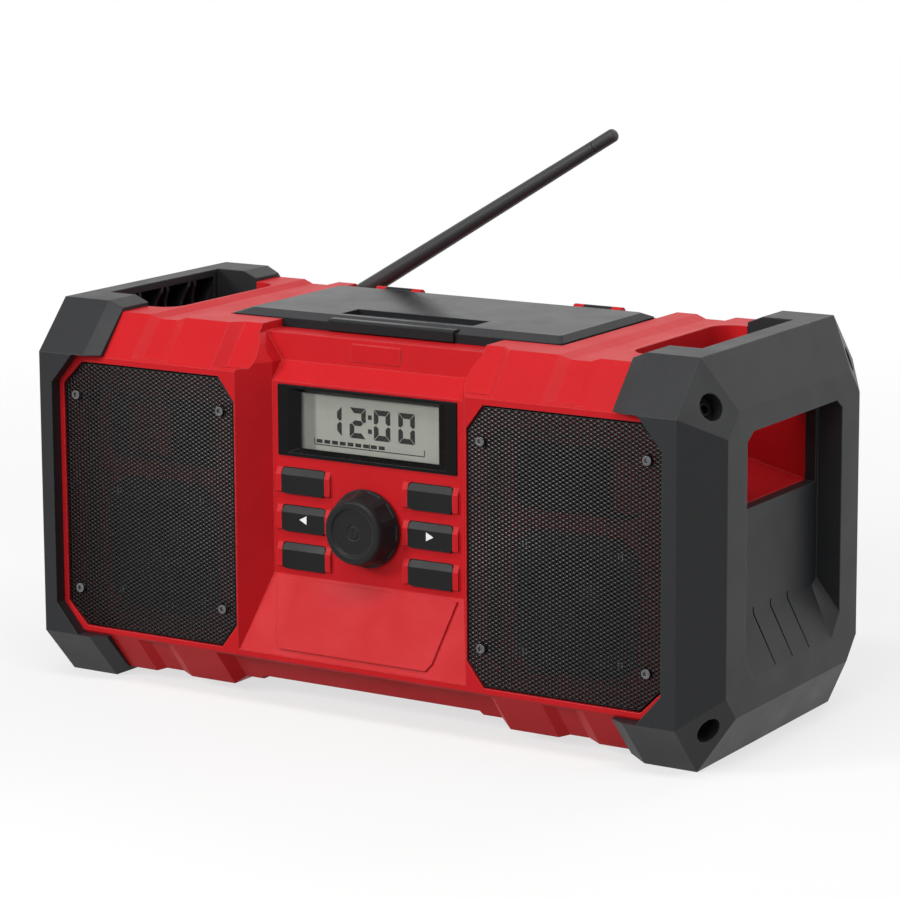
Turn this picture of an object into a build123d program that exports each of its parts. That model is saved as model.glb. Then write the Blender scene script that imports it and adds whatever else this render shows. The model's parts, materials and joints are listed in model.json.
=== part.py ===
from build123d import *
import os
from math import cos, hypot, radians, sin, sqrt

os.makedirs("parts", exist_ok=True)

# Jobsite radio. Millimetres, +X to the listener's right, front towards -Y, +Z up.
# Origin: middle of the footprint, on the surface that the end caps stand on.

# ---------------------------------------------------------------- driving sizes
length = 410.0
depth = 194.0
height = 203.5
wall = 3.0
fit_gap = 0.3
running = 0.05
overrun = 1.0
head_taper = 18
socket_floor = 0.35

# End caps: a thick bumper frame over each end of the casing, with a carrying grip.
cap_bevel_x = 15.2
cap_cut_y = 23.6
cap_cut_z = 26.2
cap_face_cut_y = 11.0
cap_face_cut_z = 12.2
cap_wall = 19.0
cap_reach = 52.2
cap_lip_run = 8.2
cap_lip_drop = 3.4
cap_front_reach = 23.0
cap_notch_x = 13.5
cap_notch_z = 15.8
cap_stand_off_y = 7.0
cap_stand_off_z = 5.5
grip_width = 26.4
grip_height = 38.5
grip_skin = 4.0
grip_rib = 2.0
grip_rib_pitch = 25.3
grip_rib_columns = 4
grip_rib_spread = 11.5
grip_rib_foot = 1.6
grip_scoop_r = 22.0
grip_scoop_depth = 4.0
liner = 3.0
liner_height = 35.5
hand_half_width = 50.0
recess_half_width = 53.0
recess_draft = 1.0
recess_low = 42.3
recess_depth = 13.0
recess_slope = 25.4
recess_cut_y = 9.0
recess_cut_z = 11.7
recess_floor_cut_y = 5.0
recess_floor_cut_z = 3.8
recess_top_cut_y = 6.5
recess_top_cut_z = 4.5
recess_groove_pitch = 19.0
recess_groove = 1.2
window_height = 43.5
window_cut = 6.0
corner_bore_r = 6.7
corner_bore_depth = 9.0
cap_screw_head_r = 4.5
cap_screw_head_h = 3.5
cap_screw_r = 1.8
cap_screw_length = 14.0
cap_boss = 16.0
cap_hole_r = 2.0

# Casing: two moulded shells that meet on an upright plane near the back.
casing_cut_y = 18.0
casing_cut_z = 22.0
split_inset = 28.0
hand_pocket_run = 49.0
hand_floor_drop = 69.5
hand_floor_fall = 12.0
hand_corner_r = 12.0
groove_offset = 1.0
groove_floor_half = 5.5
groove_slope = 6.0
groove_depth = 2.0
step_spread = 15.2
step_run = 6.0
step_depth = 4.5
underside_step = 6.8
channel_stop = 1.2

# Middle of the front: control panel set back between the two speaker pods.
pod_margin = 1.0
pod_lean = 11.5
panel_set_back = 17.5
brow_run = 8.9
brow_rise = 9.4
rim_run = 0.6
rim_rise = 14.1
rim_drop = 4.3
rim_flare = 9.6
rim_splay = 0.4
chin_set_back = 1.0
panel_foot = 3.45
plaque_relief = 1.2
plaque_inset = 3.0
plaque_corner = 4.0
plaque_cut_foot = 10.4
plaque_cut_side = 7.2
badge_half_width = 15.0
badge_height = 9.0
badge_relief = 0.8

# Grilles and what lies behind them.
grille_half_width = 54.5
grille_cap_gap = 3.0
grille_low = 30.4
grille_drop = 31.0
grille_outer_cut = 12.0
grille_inner_cut_x = 9.5
grille_inner_cut_z = 12.5
grille_thickness = 1.2
grille_set_back = 0.4
grille_fold = 1.5
grille_seat_wall_x = 1.5
grille_seat_wall_z = 2.0
grille_screw_x = 46.3
grille_screw_low = 20.0
grille_screw_high = 17.7
grille_screw_head_r = 2.9
grille_screw_head_h = 1.6
grille_screw_r = 1.4
grille_screw_length = 9.0
pod_recess_half = 42.5
pod_recess_inset = 10.5
pod_depth = 14.0
pod_corner_r = 8.0
bar_height = 6.5
bar_gap = 1.5
port_margin = 7.0

# Speaker drivers.
speaker_drop = 35.5
speaker_plate_half = 34.5
speaker_plate_cut = 9.0
speaker_plate_t = 3.0
speaker_flange_t = 1.4
speaker_lip_taper = 20
speaker_window_half = 31.0
speaker_window_cut_x = 11.0
speaker_window_cut_z = 16.0
speaker_screw_spread = 26.9
speaker_screw_r = 1.3
speaker_screw_head_r = 2.4
speaker_screw_head_h = 1.5
basket_r = 31.0
basket_back_r = 17.0
basket_depth = 17.0
basket_wall = 1.6
basket_spoke = 9.0
cone_r = 25.0
cone_throat_r = 10.0
cone_depth = 12.0
cone_wall = 0.9
surround_lip = 1.2
surround_t = 0.7
magnet_r = 21.0
magnet_depth = 12.0
magnet_gap_depth = 6.0
pole_r = 8.4
pole_proud = 3.0
coil_wall = 0.6
coil_clearance = 0.4
coil_length = 8.0
dust_cap_rise = 4.0

# Lid over the storage compartment, with its latch.
seat_half_width = 100.5
seat_inset = 14.4
lid_half_width = 99.3
lid_front_gap = 0.4
lid_rear_inset = 22.4
lid_gap = 0.2
lid_skirt = 4.7
lid_crown = 2.2
lid_bevel_x = 5.6
lid_bevel_front = 9.8
lid_bevel_rear = 4.0
lid_wall = 2.5
lid_panel_t = 2.6
lid_pull_half_width = 40.0
lid_pull_depth = 3.1
lid_pull_gap = 4.0
lid_pull_width = 16.8
lid_pull_floor = 1.5
hinge_setback = 6.0
hinge_rise = 3.7
hinge_barrel_r = 3.2
hinge_pin_r = 1.6
hinge_knuckle = 16.0
hinge_ear = 6.0
hinge_x = 62.0
hinge_arm_drop = 0.4
latch_half_width = 37.7
latch_reach = 3.4
latch_barrel_r = 2.5
latch_pivot_rise = 3.2
latch_sunk = 0.4
latch_back = 0.7
latch_round = 0.5
latch_pin_r = 1.1
latch_proud = 2.0
latch_notch_wall = 1.5
latch_ear = 4.0
tray_half_width = 84.0
tray_front_inset = 12.2
tray_rear_inset = 9.0
tray_depth = 51.7
tray_wall = 2.0
tray_flange = 4.0
tray_flange_t = 1.5
seal_width = 3.0
socket_drop = 18.7
socket_spacing = 24.0
socket_body_depth = 12.0
usb_width = 14.2
usb_height = 6.6
usb_shell = 1.0
usb_tongue = 1.8
aux_r = 1.8
aux_barrel_r = 4.0
aux_body = 11.0

# Display, boards, keys and tuning knob.
bezel_half_width = 53.8
bezel_height = 36.9
bezel_top_gap = 1.6
bezel_proud = 0.7
bezel_flange = 2.5
bezel_flange_t = 1.0
glass_half_width = 41.6
glass_height = 29.2
glass_margin_top = 3.7
glass_sunk = 2.5
glass_t = 1.5
glass_lap = 1.5
glass_splay = 6.0
bezel_margin = 2.2
lcd_lap = 3.5
board_set_back = 10.5
board_t = 1.6
board_half_width = 64.0
board_above = 1.8
board_below = 3.0
board_post_r = 3.0
board_post_inset = 4.0
key_inset = 19.1
key_gap = 6.35
key_pitch = 19.75
key_width = 26.0
key_height = 13.4
key_corner_r = 2.0
key_proud = 1.6
key_bevel_z = 3.6
key_flange = 1.5
key_flange_t = 1.0
key_flange_gap = 0.2
key_travel = 1.0
stop_width = 3.2
stop_foot = 0.8
panel_fit = 0.1
mat_t = 2.5
mat_margin = 1.5
dome_r = 4.0
dome_taper = 20
knob_base_r = 20.3
knob_front_r = 15.5
knob_height = 13.0
knob_gap = 1.5
knob_dish_r = 12.9
knob_dish_edge = 1.1
knob_dish_depth = 1.3
knob_wall = 3.0
knob_hub_r = 5.5
knob_round = 1.0
knob_ring = 2.2
knob_grips = 10
knob_grip_r = 30.0
knob_grip_bite = 0.8
knob_sign_r = 3.6
knob_sign_line = 0.8
knob_sign_depth = 0.4
knob_travel = 1.0
shaft_r = 2.45
shaft_flat = 0.7
rotor_r = 3.2
rotor_gap = 0.2
rotor_end_gap = 0.6
rotor_floor = 0.4
bush_r = 4.2
bush_proud = 3.0
encoder_half = 6.5
main_board_half_width = 64.0
main_board_stand = 4.7
main_board_front = 35.0
main_board_rear = 12.0

# Aerial on the rear edge.
aerial_x = -112.0
aerial_inset = 10.0
aerial_lift = 8.0
aerial_tilt = 31.06
aerial_length = 200.0
aerial_root_r = 5.0
aerial_end_r = 3.65
aerial_tip_length = 15.0
aerial_tip_seam = 0.4
aerial_head_r = 5.6
aerial_end_round = 2.9
aerial_root_start = 7.0
aerial_tongue = 5.2
aerial_cheek = 2.6
aerial_cheek_gap = 0.15
aerial_pin_r = 1.5
swivel_r = 6.2
swivel_disc_t = 2.2
swivel_stem_r = 2.5
swivel_play = 0.2
swivel_screw_gap = 0.5
ledge_width = 16.6
ledge_drop = 20.0
ledge_before = 20.0
ledge_after = 10.0

# Battery bay, charging inlet and back fixings.
bay_half_width = 46.0
bay_low = 34.0
bay_height = 84.0
bay_depth = 62.0
dock_half_width = 30.0
dock_plate_t = 4.0
dock_height = 12.0
dock_inset = 2.0
dock_length = 50.0
rail_width = 8.0
rail_stem = 4.0
rail_lip_t = 3.0
blade_t = 1.0
blade_length = 14.0
blade_height = 6.0
blade_pitch = 8.0
jack_offset = -6.5
jack_z = 62.0
jack_r = 5.5
jack_flange = 2.0
jack_hole_r = 2.9
jack_hole_depth = 9.0
jack_pin_r = 0.9
jack_body = 14.0
flap_width = 16.5
flap_height = 13.8
flap_t = 2.0
flap_corner_r = 2.0
flap_plug_r = 2.5
flap_plug_length = 1.3
flap_hinge_x = 9.4
flap_barrel_r = 1.1
flap_pivot_r = 0.7
flap_lug = 2.3
flap_lug_half = 1.6
flap_pivot_reach = 2.0
fix_boss = 12.0
fix_reach = 8.5
fix_screw_r = 1.6
fix_head_r = 3.4
fix_head_h = 2.4
fix_head_inset = 14.0
fix_cap_gap = 9.8
fix_edge = 12.0
fix_inner_x = 75.0
fix_inner_z = 26.0

# ---------------------------------------------------------------- derived places
half_length = length / 2
half_depth = depth / 2
cap_bevel_start = half_length - cap_bevel_x
cap_inner_x = half_length - cap_reach
cap_front_edge = half_length - cap_front_reach
casing_end = half_length - cap_wall
casing_front = half_depth - cap_stand_off_y
casing_low = cap_stand_off_z
casing_high = height - cap_stand_off_z
casing_mid = (casing_low + casing_high) / 2
grip_in = half_length - grip_width
grip_low = height - grip_height
bevel_edge_z = height - cap_cut_z
window_low = grip_low - window_height
liner_low = height - liner_height
recess_x = half_length - recess_depth
split_y = casing_front - split_inset
far = 4 * depth

grille_x = cap_front_edge - grille_cap_gap - grille_half_width
grille_high = height - grille_drop
grille_front_y = -casing_front + grille_set_back
grille_seat_y = grille_front_y + grille_fold
grille_mid_z = (grille_low + grille_high) / 2
grille_screw_spots = [
    (sx * grille_x + side * grille_screw_x, z)
    for sx in (-1, 1)
    for side in (-1, 1)
    for z in (grille_low + grille_screw_low, grille_high - grille_screw_high)
]
pod_inner_x = grille_x - grille_half_width - pod_margin
pod_recess_low = grille_low + pod_recess_inset
pod_recess_high = grille_high - pod_recess_inset
baffle_y = -casing_front + pod_depth
speaker_z = pod_recess_low + speaker_drop
bar_low = speaker_z + speaker_plate_half + bar_gap

panel_half_width = pod_inner_x - pod_lean
panel_y = -casing_front + panel_set_back
brow_y = panel_y + brow_run
rim_y = brow_y + rim_run
rim_z = casing_high - rim_drop
rim_half_width = panel_half_width + rim_flare
brow_z = rim_z - rim_rise
panel_high = brow_z - brow_rise
bezel_high = panel_high - bezel_top_gap
bezel_low = bezel_high - bezel_height
bezel_front_y = panel_y - bezel_proud
glass_y = panel_y + glass_sunk
glass_high = bezel_high - glass_margin_top
glass_low = glass_high - glass_height
key_x = panel_half_width - key_inset
key_z = bezel_low - key_gap - key_height / 2 - key_pitch
panel_low = key_z - key_pitch - key_height / 2 - panel_foot
chin_y = -casing_front + chin_set_back
chin_z = grille_low
panel_in_y = panel_y + wall
board_y = panel_y + board_set_back
board_high = panel_high + board_above
board_low = panel_low - board_below
key_front_y = panel_y - key_proud
key_spots = [(sx * key_x, key_z + row * key_pitch) for sx in (-1, 1) for row in (-1, 0, 1)]
key_flange_y = panel_in_y + key_flange_gap
knob_z = key_z
knob_back_y = panel_y - knob_gap
knob_front_y = knob_back_y - knob_height
bush_front_y = panel_y - bush_proud
rotor_back_y = board_y - rotor_end_gap

seat_front_y = rim_y + seat_inset
ledge_y = casing_front - ledge_width
ledge_z = casing_high - ledge_drop
lid_front_y = seat_front_y + lid_front_gap
lid_rear_y = ledge_y - lid_rear_inset
lid_low = rim_z + lid_gap
lid_skirt_high = lid_low + lid_skirt
lid_top = lid_skirt_high + lid_crown
lid_under = lid_top - lid_panel_t
hinge_y = lid_rear_y + hinge_setback
hinge_z = rim_z + hinge_rise
latch_pivot_y = lid_front_y + latch_reach
latch_pivot_z = rim_z + latch_pivot_rise
tray_front_y = lid_front_y + tray_front_inset
tray_rear_y = lid_rear_y - tray_rear_inset
tray_mid_y = (tray_front_y + tray_rear_y) / 2
tray_low = rim_z - tray_depth
tray_high = rim_z + tray_flange_t
socket_z = rim_z - socket_drop

hand_pocket_x = casing_end - hand_pocket_run
hand_floor_in = height - hand_floor_drop
hand_floor_out = hand_floor_in - hand_floor_fall
groove_x = grille_x - groove_offset
step_x = pod_inner_x + step_spread
step_half = step_x - step_run

aerial_y = casing_front - aerial_inset
aerial_z = ledge_z + aerial_lift
ledge_start_x = aerial_x - ledge_before
ledge_end_x = aerial_x + aerial_length + ledge_after

bay_high = bay_low + bay_height
bay_front_y = casing_front - bay_depth
dock_front_y = bay_front_y + dock_inset
dock_under = bay_high - dock_plate_t
jack_x = grille_x + jack_offset
fix_head_y = casing_front - fix_head_inset
fix_outer_x = cap_inner_x - fix_cap_gap
fix_spots = [
    (sx * x, z)
    for sx in (-1, 1)
    for x, z in (
        (fix_outer_x, casing_high - fix_edge),
        (fix_outer_x, casing_low + fix_edge),
        (fix_inner_x, fix_inner_z),
    )
]
main_board_z = casing_low + underside_step + wall + main_board_stand
board_foot_x = board_half_width - board_post_inset
main_foot_x = main_board_half_width - board_post_inset
main_front_y = -casing_front + main_board_front
main_rear_y = split_y - main_board_rear


# ---------------------------------------------------------------- helpers
def save(piece, name):
    """Label one finished piece and write it as its own file."""
    piece.part.label = name
    export_step(piece.part, "parts/" + name + ".step")


def slab(x_span, y_span, z_span, mode=Mode.ADD):
    """A block between two corners, put into the part being built."""
    centre = [(span[0] + span[1]) / 2 for span in (x_span, y_span, z_span)]
    with Locations(tuple(centre)):
        Box(x_span[1] - x_span[0], y_span[1] - y_span[0], z_span[1] - z_span[0], mode=mode)


def front_plane(y, x=0, z=0):
    """An upright plane across the radio at y. It faces the listener: local x is X, local y is Z."""
    return Plane(origin=(x, y, z), x_dir=(1, 0, 0), z_dir=(0, -1, 0))


def turning_plane(x, z):
    """Plane for a half section (radius, Y), turned about a front-to-back axis."""
    return Plane(origin=(x, 0, z), x_dir=(1, 0, 0), z_dir=(0, 0, 1))


def turning_axis(x, z):
    """The front-to-back axis of what is turned at (x, z)."""
    return Axis((x, 0, z), (0, 1, 0))


def octagon(half_y, low, high, cut_y, cut_z, inset=0.0):
    """Corners of an upright (Y, Z) section: a rectangle with its corners cut, drawn in by inset."""
    shrink = inset * (hypot(cut_y, cut_z) - cut_y - cut_z)
    half_y, low, high = half_y - inset, low + inset, high - inset
    cut_y, cut_z = cut_y + shrink / cut_z, cut_z + shrink / cut_y
    return [
        (-half_y, low + cut_z), (-half_y + cut_y, low),
        (half_y - cut_y, low), (half_y, low + cut_z),
        (half_y, high - cut_z), (half_y - cut_y, high),
        (-half_y + cut_y, high), (-half_y, high - cut_z),
    ]


def casing_ring(inset=0.0):
    """Outer section of the casing, or the same drawn in by a wall."""
    return octagon(casing_front, casing_low, casing_high, casing_cut_y, casing_cut_z, inset)


def cap_ring(inset=0.0):
    """Outer section of the end caps, or the same drawn in."""
    return octagon(half_depth, 0, height, cap_cut_y, cap_cut_z, inset)


def grille_outline(sx, margin=0.0):
    """Outline of one grille about (grille_x, 0), in (X, Z), grown by a margin."""
    half = grille_half_width + margin
    low, high = grille_low - margin, grille_high + margin
    return [
        (sx * half, low + grille_outer_cut), (sx * (half - grille_outer_cut), low),
        (sx * (-half + grille_inner_cut_x), low), (sx * -half, low + grille_inner_cut_z),
        (sx * -half, high - grille_inner_cut_z), (sx * (-half + grille_inner_cut_x), high),
        (sx * (half - grille_outer_cut), high), (sx * half, high - grille_outer_cut),
    ]


def speaker_screw_spots(sx):
    """The four fixings of one speaker, in (X, Z)."""
    return [
        (sx * grille_x + side * speaker_screw_spread, speaker_z + rise * speaker_screw_spread)
        for side in (-1, 1)
        for rise in (-1, 1)
    ]


def driven_screw(frame, head_r, head_h, shank_r, shank_length, socket_r):
    """A screw seated on a plane: tapered head outwards, hexagon socket, plain shank inwards."""
    with BuildPart() as screw:
        with BuildSketch(frame):
            Circle(head_r)
        extrude(amount=head_h, taper=head_taper)
        with BuildSketch(frame.offset(head_h * socket_floor)):
            RegularPolygon(socket_r, 6)
        extrude(amount=head_h, mode=Mode.SUBTRACT)
        with BuildSketch(frame):
            Circle(shank_r)
        extrude(amount=-shank_length)
    return screw.part


facet_points = [
    Vector(cap_bevel_start, -half_depth, bevel_edge_z),
    Vector(cap_bevel_start, -half_depth + cap_cut_y, height),
    Vector(half_length, -half_depth + cap_cut_y + cap_face_cut_y, bevel_edge_z),
    Vector(half_length, -half_depth + cap_cut_y, bevel_edge_z - cap_face_cut_z),
]
facet_centre = sum(facet_points[1:], facet_points[0]) / 4
facet_normal = (facet_points[3] - facet_points[0]).cross(facet_points[1] - facet_points[0])
facet_normal = facet_normal.normalized()


def corner_frames(ends=(1, -1), sides=(1, -1)):
    """Planes on the corner facets of the caps, each facing out."""
    frames = []
    for sx in ends:
        for sy in sides:
            for sz in (1, -1):
                rise = height / 2 + sz * (facet_centre.Z - height / 2)
                spot = (sx * facet_centre.X, -sy * facet_centre.Y, rise)
                out = (sx * facet_normal.X, -sy * facet_normal.Y, sz * facet_normal.Z)
                frames.append(Plane(origin=spot, z_dir=out))
    return frames


# ---------------------------------------------------------------- waste and walls of the casing
slant = hypot(casing_cut_y, casing_cut_z)
slant_y, slant_z = casing_cut_z / slant, casing_cut_y / slant


def relief_cutter(face, centre_x, floor_half, slope, relief):
    """Waste for a shallow trapezoid channel across one face, given as (front-back, up-down)."""
    back, up = face
    face_z = casing_high if up > 0 else casing_low
    if back == 0:
        origin = (centre_x, 0, face_z)
        out = Vector(0, 0, up)
    else:
        origin = (centre_x, back * casing_front, face_z - up * casing_cut_z)
        out = Vector(0, back * slant_y, up * slant_z)
    with BuildPart() as cutter:
        with BuildSketch(Plane(origin=origin, x_dir=(1, 0, 0), z_dir=Vector(1, 0, 0).cross(out))):
            Polygon(
                (-floor_half, -relief), (floor_half, -relief),
                (floor_half + slope, 0), (floor_half + slope, relief + wall),
                (-floor_half - slope, relief + wall), (-floor_half - slope, 0), align=None,
            )
        extrude(amount=depth, both=True)
        if back:
            # A channel on a slanted face stops short of the flat front or back.
            flat = (casing_high - casing_low) / 2 - casing_cut_z + channel_stop
            slab((-far, far), (-far, far), (casing_mid - flat, casing_mid + flat), Mode.SUBTRACT)
    return cutter.part


slanted_faces = [(-1, 1), (-1, -1), (1, 1), (1, -1)]
channels = [
    relief_cutter(face, sx * groove_x, groove_floor_half, groove_slope, groove_depth)
    for sx in (-1, 1)
    for face in slanted_faces + [(0, 1), (0, -1)]
]
channels += [
    relief_cutter(face, 0, step_half, step_run, step_depth)
    for face in ((-1, 1), (-1, -1), (1, -1), (0, -1))
]
channels.append(relief_cutter((0, -1), 0, pod_inner_x - wall, wall, underside_step))

# Side outline (Y, Z) of the room in front of the middle section.
middle_line = [
    (chin_y, chin_z), (panel_y, panel_low), (panel_y, panel_high), (brow_y, brow_z),
    (rim_y, rim_z),
]
pod_slope = pod_lean / (casing_front + panel_y)
room_front = -casing_front - wall
room_half = pod_inner_x + pod_slope * wall

with BuildPart() as middle_room:
    with BuildSketch(Plane.XY.offset(chin_z)):
        Polygon(
            (-room_half, room_front), (room_half, room_front), (panel_half_width, panel_y),
            (panel_half_width, rim_y), (-panel_half_width, rim_y),
            (-panel_half_width, panel_y), align=None,
        )
    extrude(amount=brow_z - chin_z)
    for sx in (-1, 1):
        # Above the brow the sides lean out to the wider rim.
        with BuildSketch(Plane.XY.offset(brow_z)):
            Polygon(
                (0, room_front), (sx * room_half, room_front), (sx * panel_half_width, panel_y),
                (sx * panel_half_width, rim_y), (0, rim_y), align=None,
            )
        with BuildSketch(Plane.XY.offset(rim_z)):
            Polygon(
                (0, room_front), (sx * room_half, room_front),
                (sx * (rim_half_width + rim_splay), panel_y),
                (sx * rim_half_width, rim_y), (0, rim_y), align=None,
            )
        loft(ruled=True)
    with BuildSketch(Plane.YZ.offset(-room_half)):
        Polygon(
            (room_front, chin_z), *middle_line, (room_front, rim_z), align=None,
        )
    extrude(amount=2 * room_half, mode=Mode.INTERSECT)

with BuildPart() as inner_walls:
    # Wall behind the middle section, and the thicker floor under it.
    with BuildSketch(Plane.YZ.offset(-pod_inner_x - wall)):
        Polygon(
            (room_front, chin_z), *middle_line, (rim_y, casing_high), (room_front, casing_high),
            align=None,
        )
        offset(amount=wall, kind=Kind.INTERSECTION, mode=Mode.REPLACE)
    extrude(amount=2 * (pod_inner_x + wall))
    middle_span = (-pod_inner_x - wall, pod_inner_x + wall)
    full_y = (-casing_front, casing_front)
    slab(middle_span, full_y, (casing_low, casing_low + underside_step + wall))
    # A thicker band behind the shoulders.
    with BuildSketch(Plane.YZ.offset(-step_x - wall)):
        Polygon(*casing_ring(), align=None)
        Polygon(*casing_ring(step_depth + wall), align=None, mode=Mode.SUBTRACT)
    extrude(amount=2 * (step_x + wall))
    # Walls under the lid seat and round the aerial ledge.
    seat_span = (-seat_half_width - wall, seat_half_width + wall)
    slab(seat_span, (seat_front_y - wall, casing_front), (rim_z - wall, casing_high))
    slab(
        (ledge_start_x - wall, ledge_end_x + wall), (ledge_y - wall, casing_front),
        (ledge_z - wall, casing_high),
    )
    pocket_half = hand_half_width + liner + fit_gap + wall
    for sx in (-1, 1):
        # Round the hand pocket, behind the grille, and in the four corners.
        pocket_span = sorted((sx * (hand_pocket_x - wall), sx * casing_end))
        slab(pocket_span, (-pocket_half, pocket_half), (hand_floor_out - wall, casing_high))
        seat_half = grille_half_width + grille_seat_wall_x
        slab(
            (sx * grille_x - seat_half, sx * grille_x + seat_half),
            (-casing_front, baffle_y + wall),
            (grille_low - grille_seat_wall_z, grille_high + grille_seat_wall_z),
        )
        corner_span = sorted((sx * (casing_end - cap_boss), sx * casing_end))
        for sy in (-1, 1):
            corner_y = sorted((sy * (casing_front - wall), sy * (split_y - overrun)))
            slab(corner_span, corner_y, (casing_low, grille_low + cap_boss))
            slab(corner_span, corner_y, (grille_high - cap_boss, casing_high))
    # Bosses that hold the two shells together, footed on the nearest wall.
    for x, z in fix_spots:
        foot_z = casing_low if z < casing_mid else casing_high
        z_span = sorted((foot_z, z + (fix_boss / 2 if z < casing_mid else -fix_boss / 2)))
        slab((x - fix_boss / 2, x + fix_boss / 2), (split_y - fix_reach, casing_front), z_span)
    with BuildSketch(Plane.YZ.offset(-casing_end)):
        Polygon(*casing_ring(), align=None)
    extrude(amount=2 * casing_end, mode=Mode.INTERSECT)

# ---------------------------------------------------------------- casing, before it is split
with BuildPart() as casing:
    with BuildSketch(Plane.YZ.offset(-casing_end)):
        Polygon(*casing_ring(), align=None)
    extrude(amount=2 * casing_end)
    with BuildSketch(Plane.YZ.offset(-casing_end + wall)):
        Polygon(*casing_ring(wall), align=None)
    extrude(amount=2 * (casing_end - wall), mode=Mode.SUBTRACT)
    add(inner_walls.part)
    for channel in channels:
        add(channel, mode=Mode.SUBTRACT)
    add(middle_room.part, mode=Mode.SUBTRACT)

    # Flat rim in front of the lid, the seat under and behind it, and the compartment mouth.
    above = (rim_z, height + wall)
    slab((-seat_half_width, seat_half_width), (seat_front_y, half_depth), above, Mode.SUBTRACT)
    slab((-rim_half_width, rim_half_width), (-half_depth, seat_front_y), above, Mode.SUBTRACT)
    slab(
        (-tray_half_width - fit_gap, tray_half_width + fit_gap),
        (tray_front_y - fit_gap, tray_rear_y + fit_gap), (rim_z - 2 * wall, above[1]),
        Mode.SUBTRACT,
    )
    # Ledge on the rear edge that the aerial lies in.
    slab((ledge_start_x, ledge_end_x), (ledge_y, half_depth), (ledge_z, above[1]), Mode.SUBTRACT)

    # Hand pockets behind the carrying grips.
    for sx in (-1, 1):
        with BuildSketch(front_plane(-hand_half_width)):
            Polygon(
                (sx * hand_pocket_x, hand_floor_in), (sx * casing_end, hand_floor_out),
                (sx * (casing_end + wall), hand_floor_out), (sx * (casing_end + wall), above[1]),
                (sx * hand_pocket_x, above[1]), align=None,
            )
        extrude(amount=-2 * hand_half_width, mode=Mode.SUBTRACT)
        liner_span = sorted((sx * (cap_inner_x - fit_gap), sx * (casing_end + wall)))
        liner_half = hand_half_width + liner + fit_gap
        slab(liner_span, (-liner_half, liner_half), (liner_low, above[1]), Mode.SUBTRACT)
    pocket_corners = casing.edges().filter_by(Axis.Z).filter_by(
        lambda edge: abs(abs(edge.center().X) - hand_pocket_x) < 0.01
        and abs(abs(edge.center().Y) - hand_half_width) < 0.01
    )
    fillet(pocket_corners, hand_corner_r)

    # Grille seats, the recess behind each mesh, and the baffle openings.
    for sx in (-1, 1):
        with BuildSketch(front_plane(grille_seat_y)):
            with Locations((sx * grille_x, 0)):
                Polygon(*grille_outline(sx, fit_gap), align=None)
        extrude(amount=pod_depth, mode=Mode.SUBTRACT)
        with BuildSketch(front_plane(baffle_y)):
            with Locations((sx * grille_x, grille_mid_z)):
                RectangleRounded(
                    2 * pod_recess_half, pod_recess_high - pod_recess_low, pod_corner_r
                )
        extrude(amount=pod_depth, mode=Mode.SUBTRACT)
        port_low = bar_low + bar_height + bar_gap
        port_high = pod_recess_high - port_margin
        with BuildSketch(front_plane(baffle_y + wall)):
            with Locations((sx * grille_x, speaker_z)):
                Circle(basket_r + fit_gap)
            with Locations((sx * grille_x, (port_low + port_high) / 2)):
                RectangleRounded(
                    2 * (pod_recess_half - port_margin), port_high - port_low, port_margin
                )
        extrude(amount=wall, mode=Mode.SUBTRACT)
        # Cross bar between the speaker and the upper recess.
        slab(
            (sx * grille_x - pod_recess_half, sx * grille_x + pod_recess_half),
            (baffle_y - wall, baffle_y), (bar_low, bar_low + bar_height),
        )

    # Panel openings: display, keys, tuning bush.
    with BuildSketch(front_plane(panel_in_y + panel_fit)):
        with Locations((0, (bezel_low + bezel_high) / 2)):
            Rectangle(2 * (bezel_half_width + panel_fit), bezel_height + 2 * panel_fit)
        with Locations(*key_spots):
            RectangleRounded(key_width + 2 * fit_gap, key_height + 2 * fit_gap, key_corner_r)
        with Locations((0, knob_z)):
            Circle(bush_r + 2 * panel_fit)
    extrude(amount=2 * wall, mode=Mode.SUBTRACT)

# ---------------------------------------------------------------- front and rear housing
chin_rise = panel_low - chin_z
chin_slope = hypot(chin_rise, panel_y - chin_y)
chin_frame = Plane(
    origin=(0, (chin_y + panel_y) / 2, (chin_z + panel_low) / 2),
    x_dir=(1, 0, 0),
    z_dir=(0, -chin_rise, panel_y - chin_y),
)
plaque_top = panel_half_width - plaque_inset
plaque_foot = chin_slope / 2 - plaque_inset
cap_bore_reach = corner_bore_depth + cap_screw_length + overrun

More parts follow.
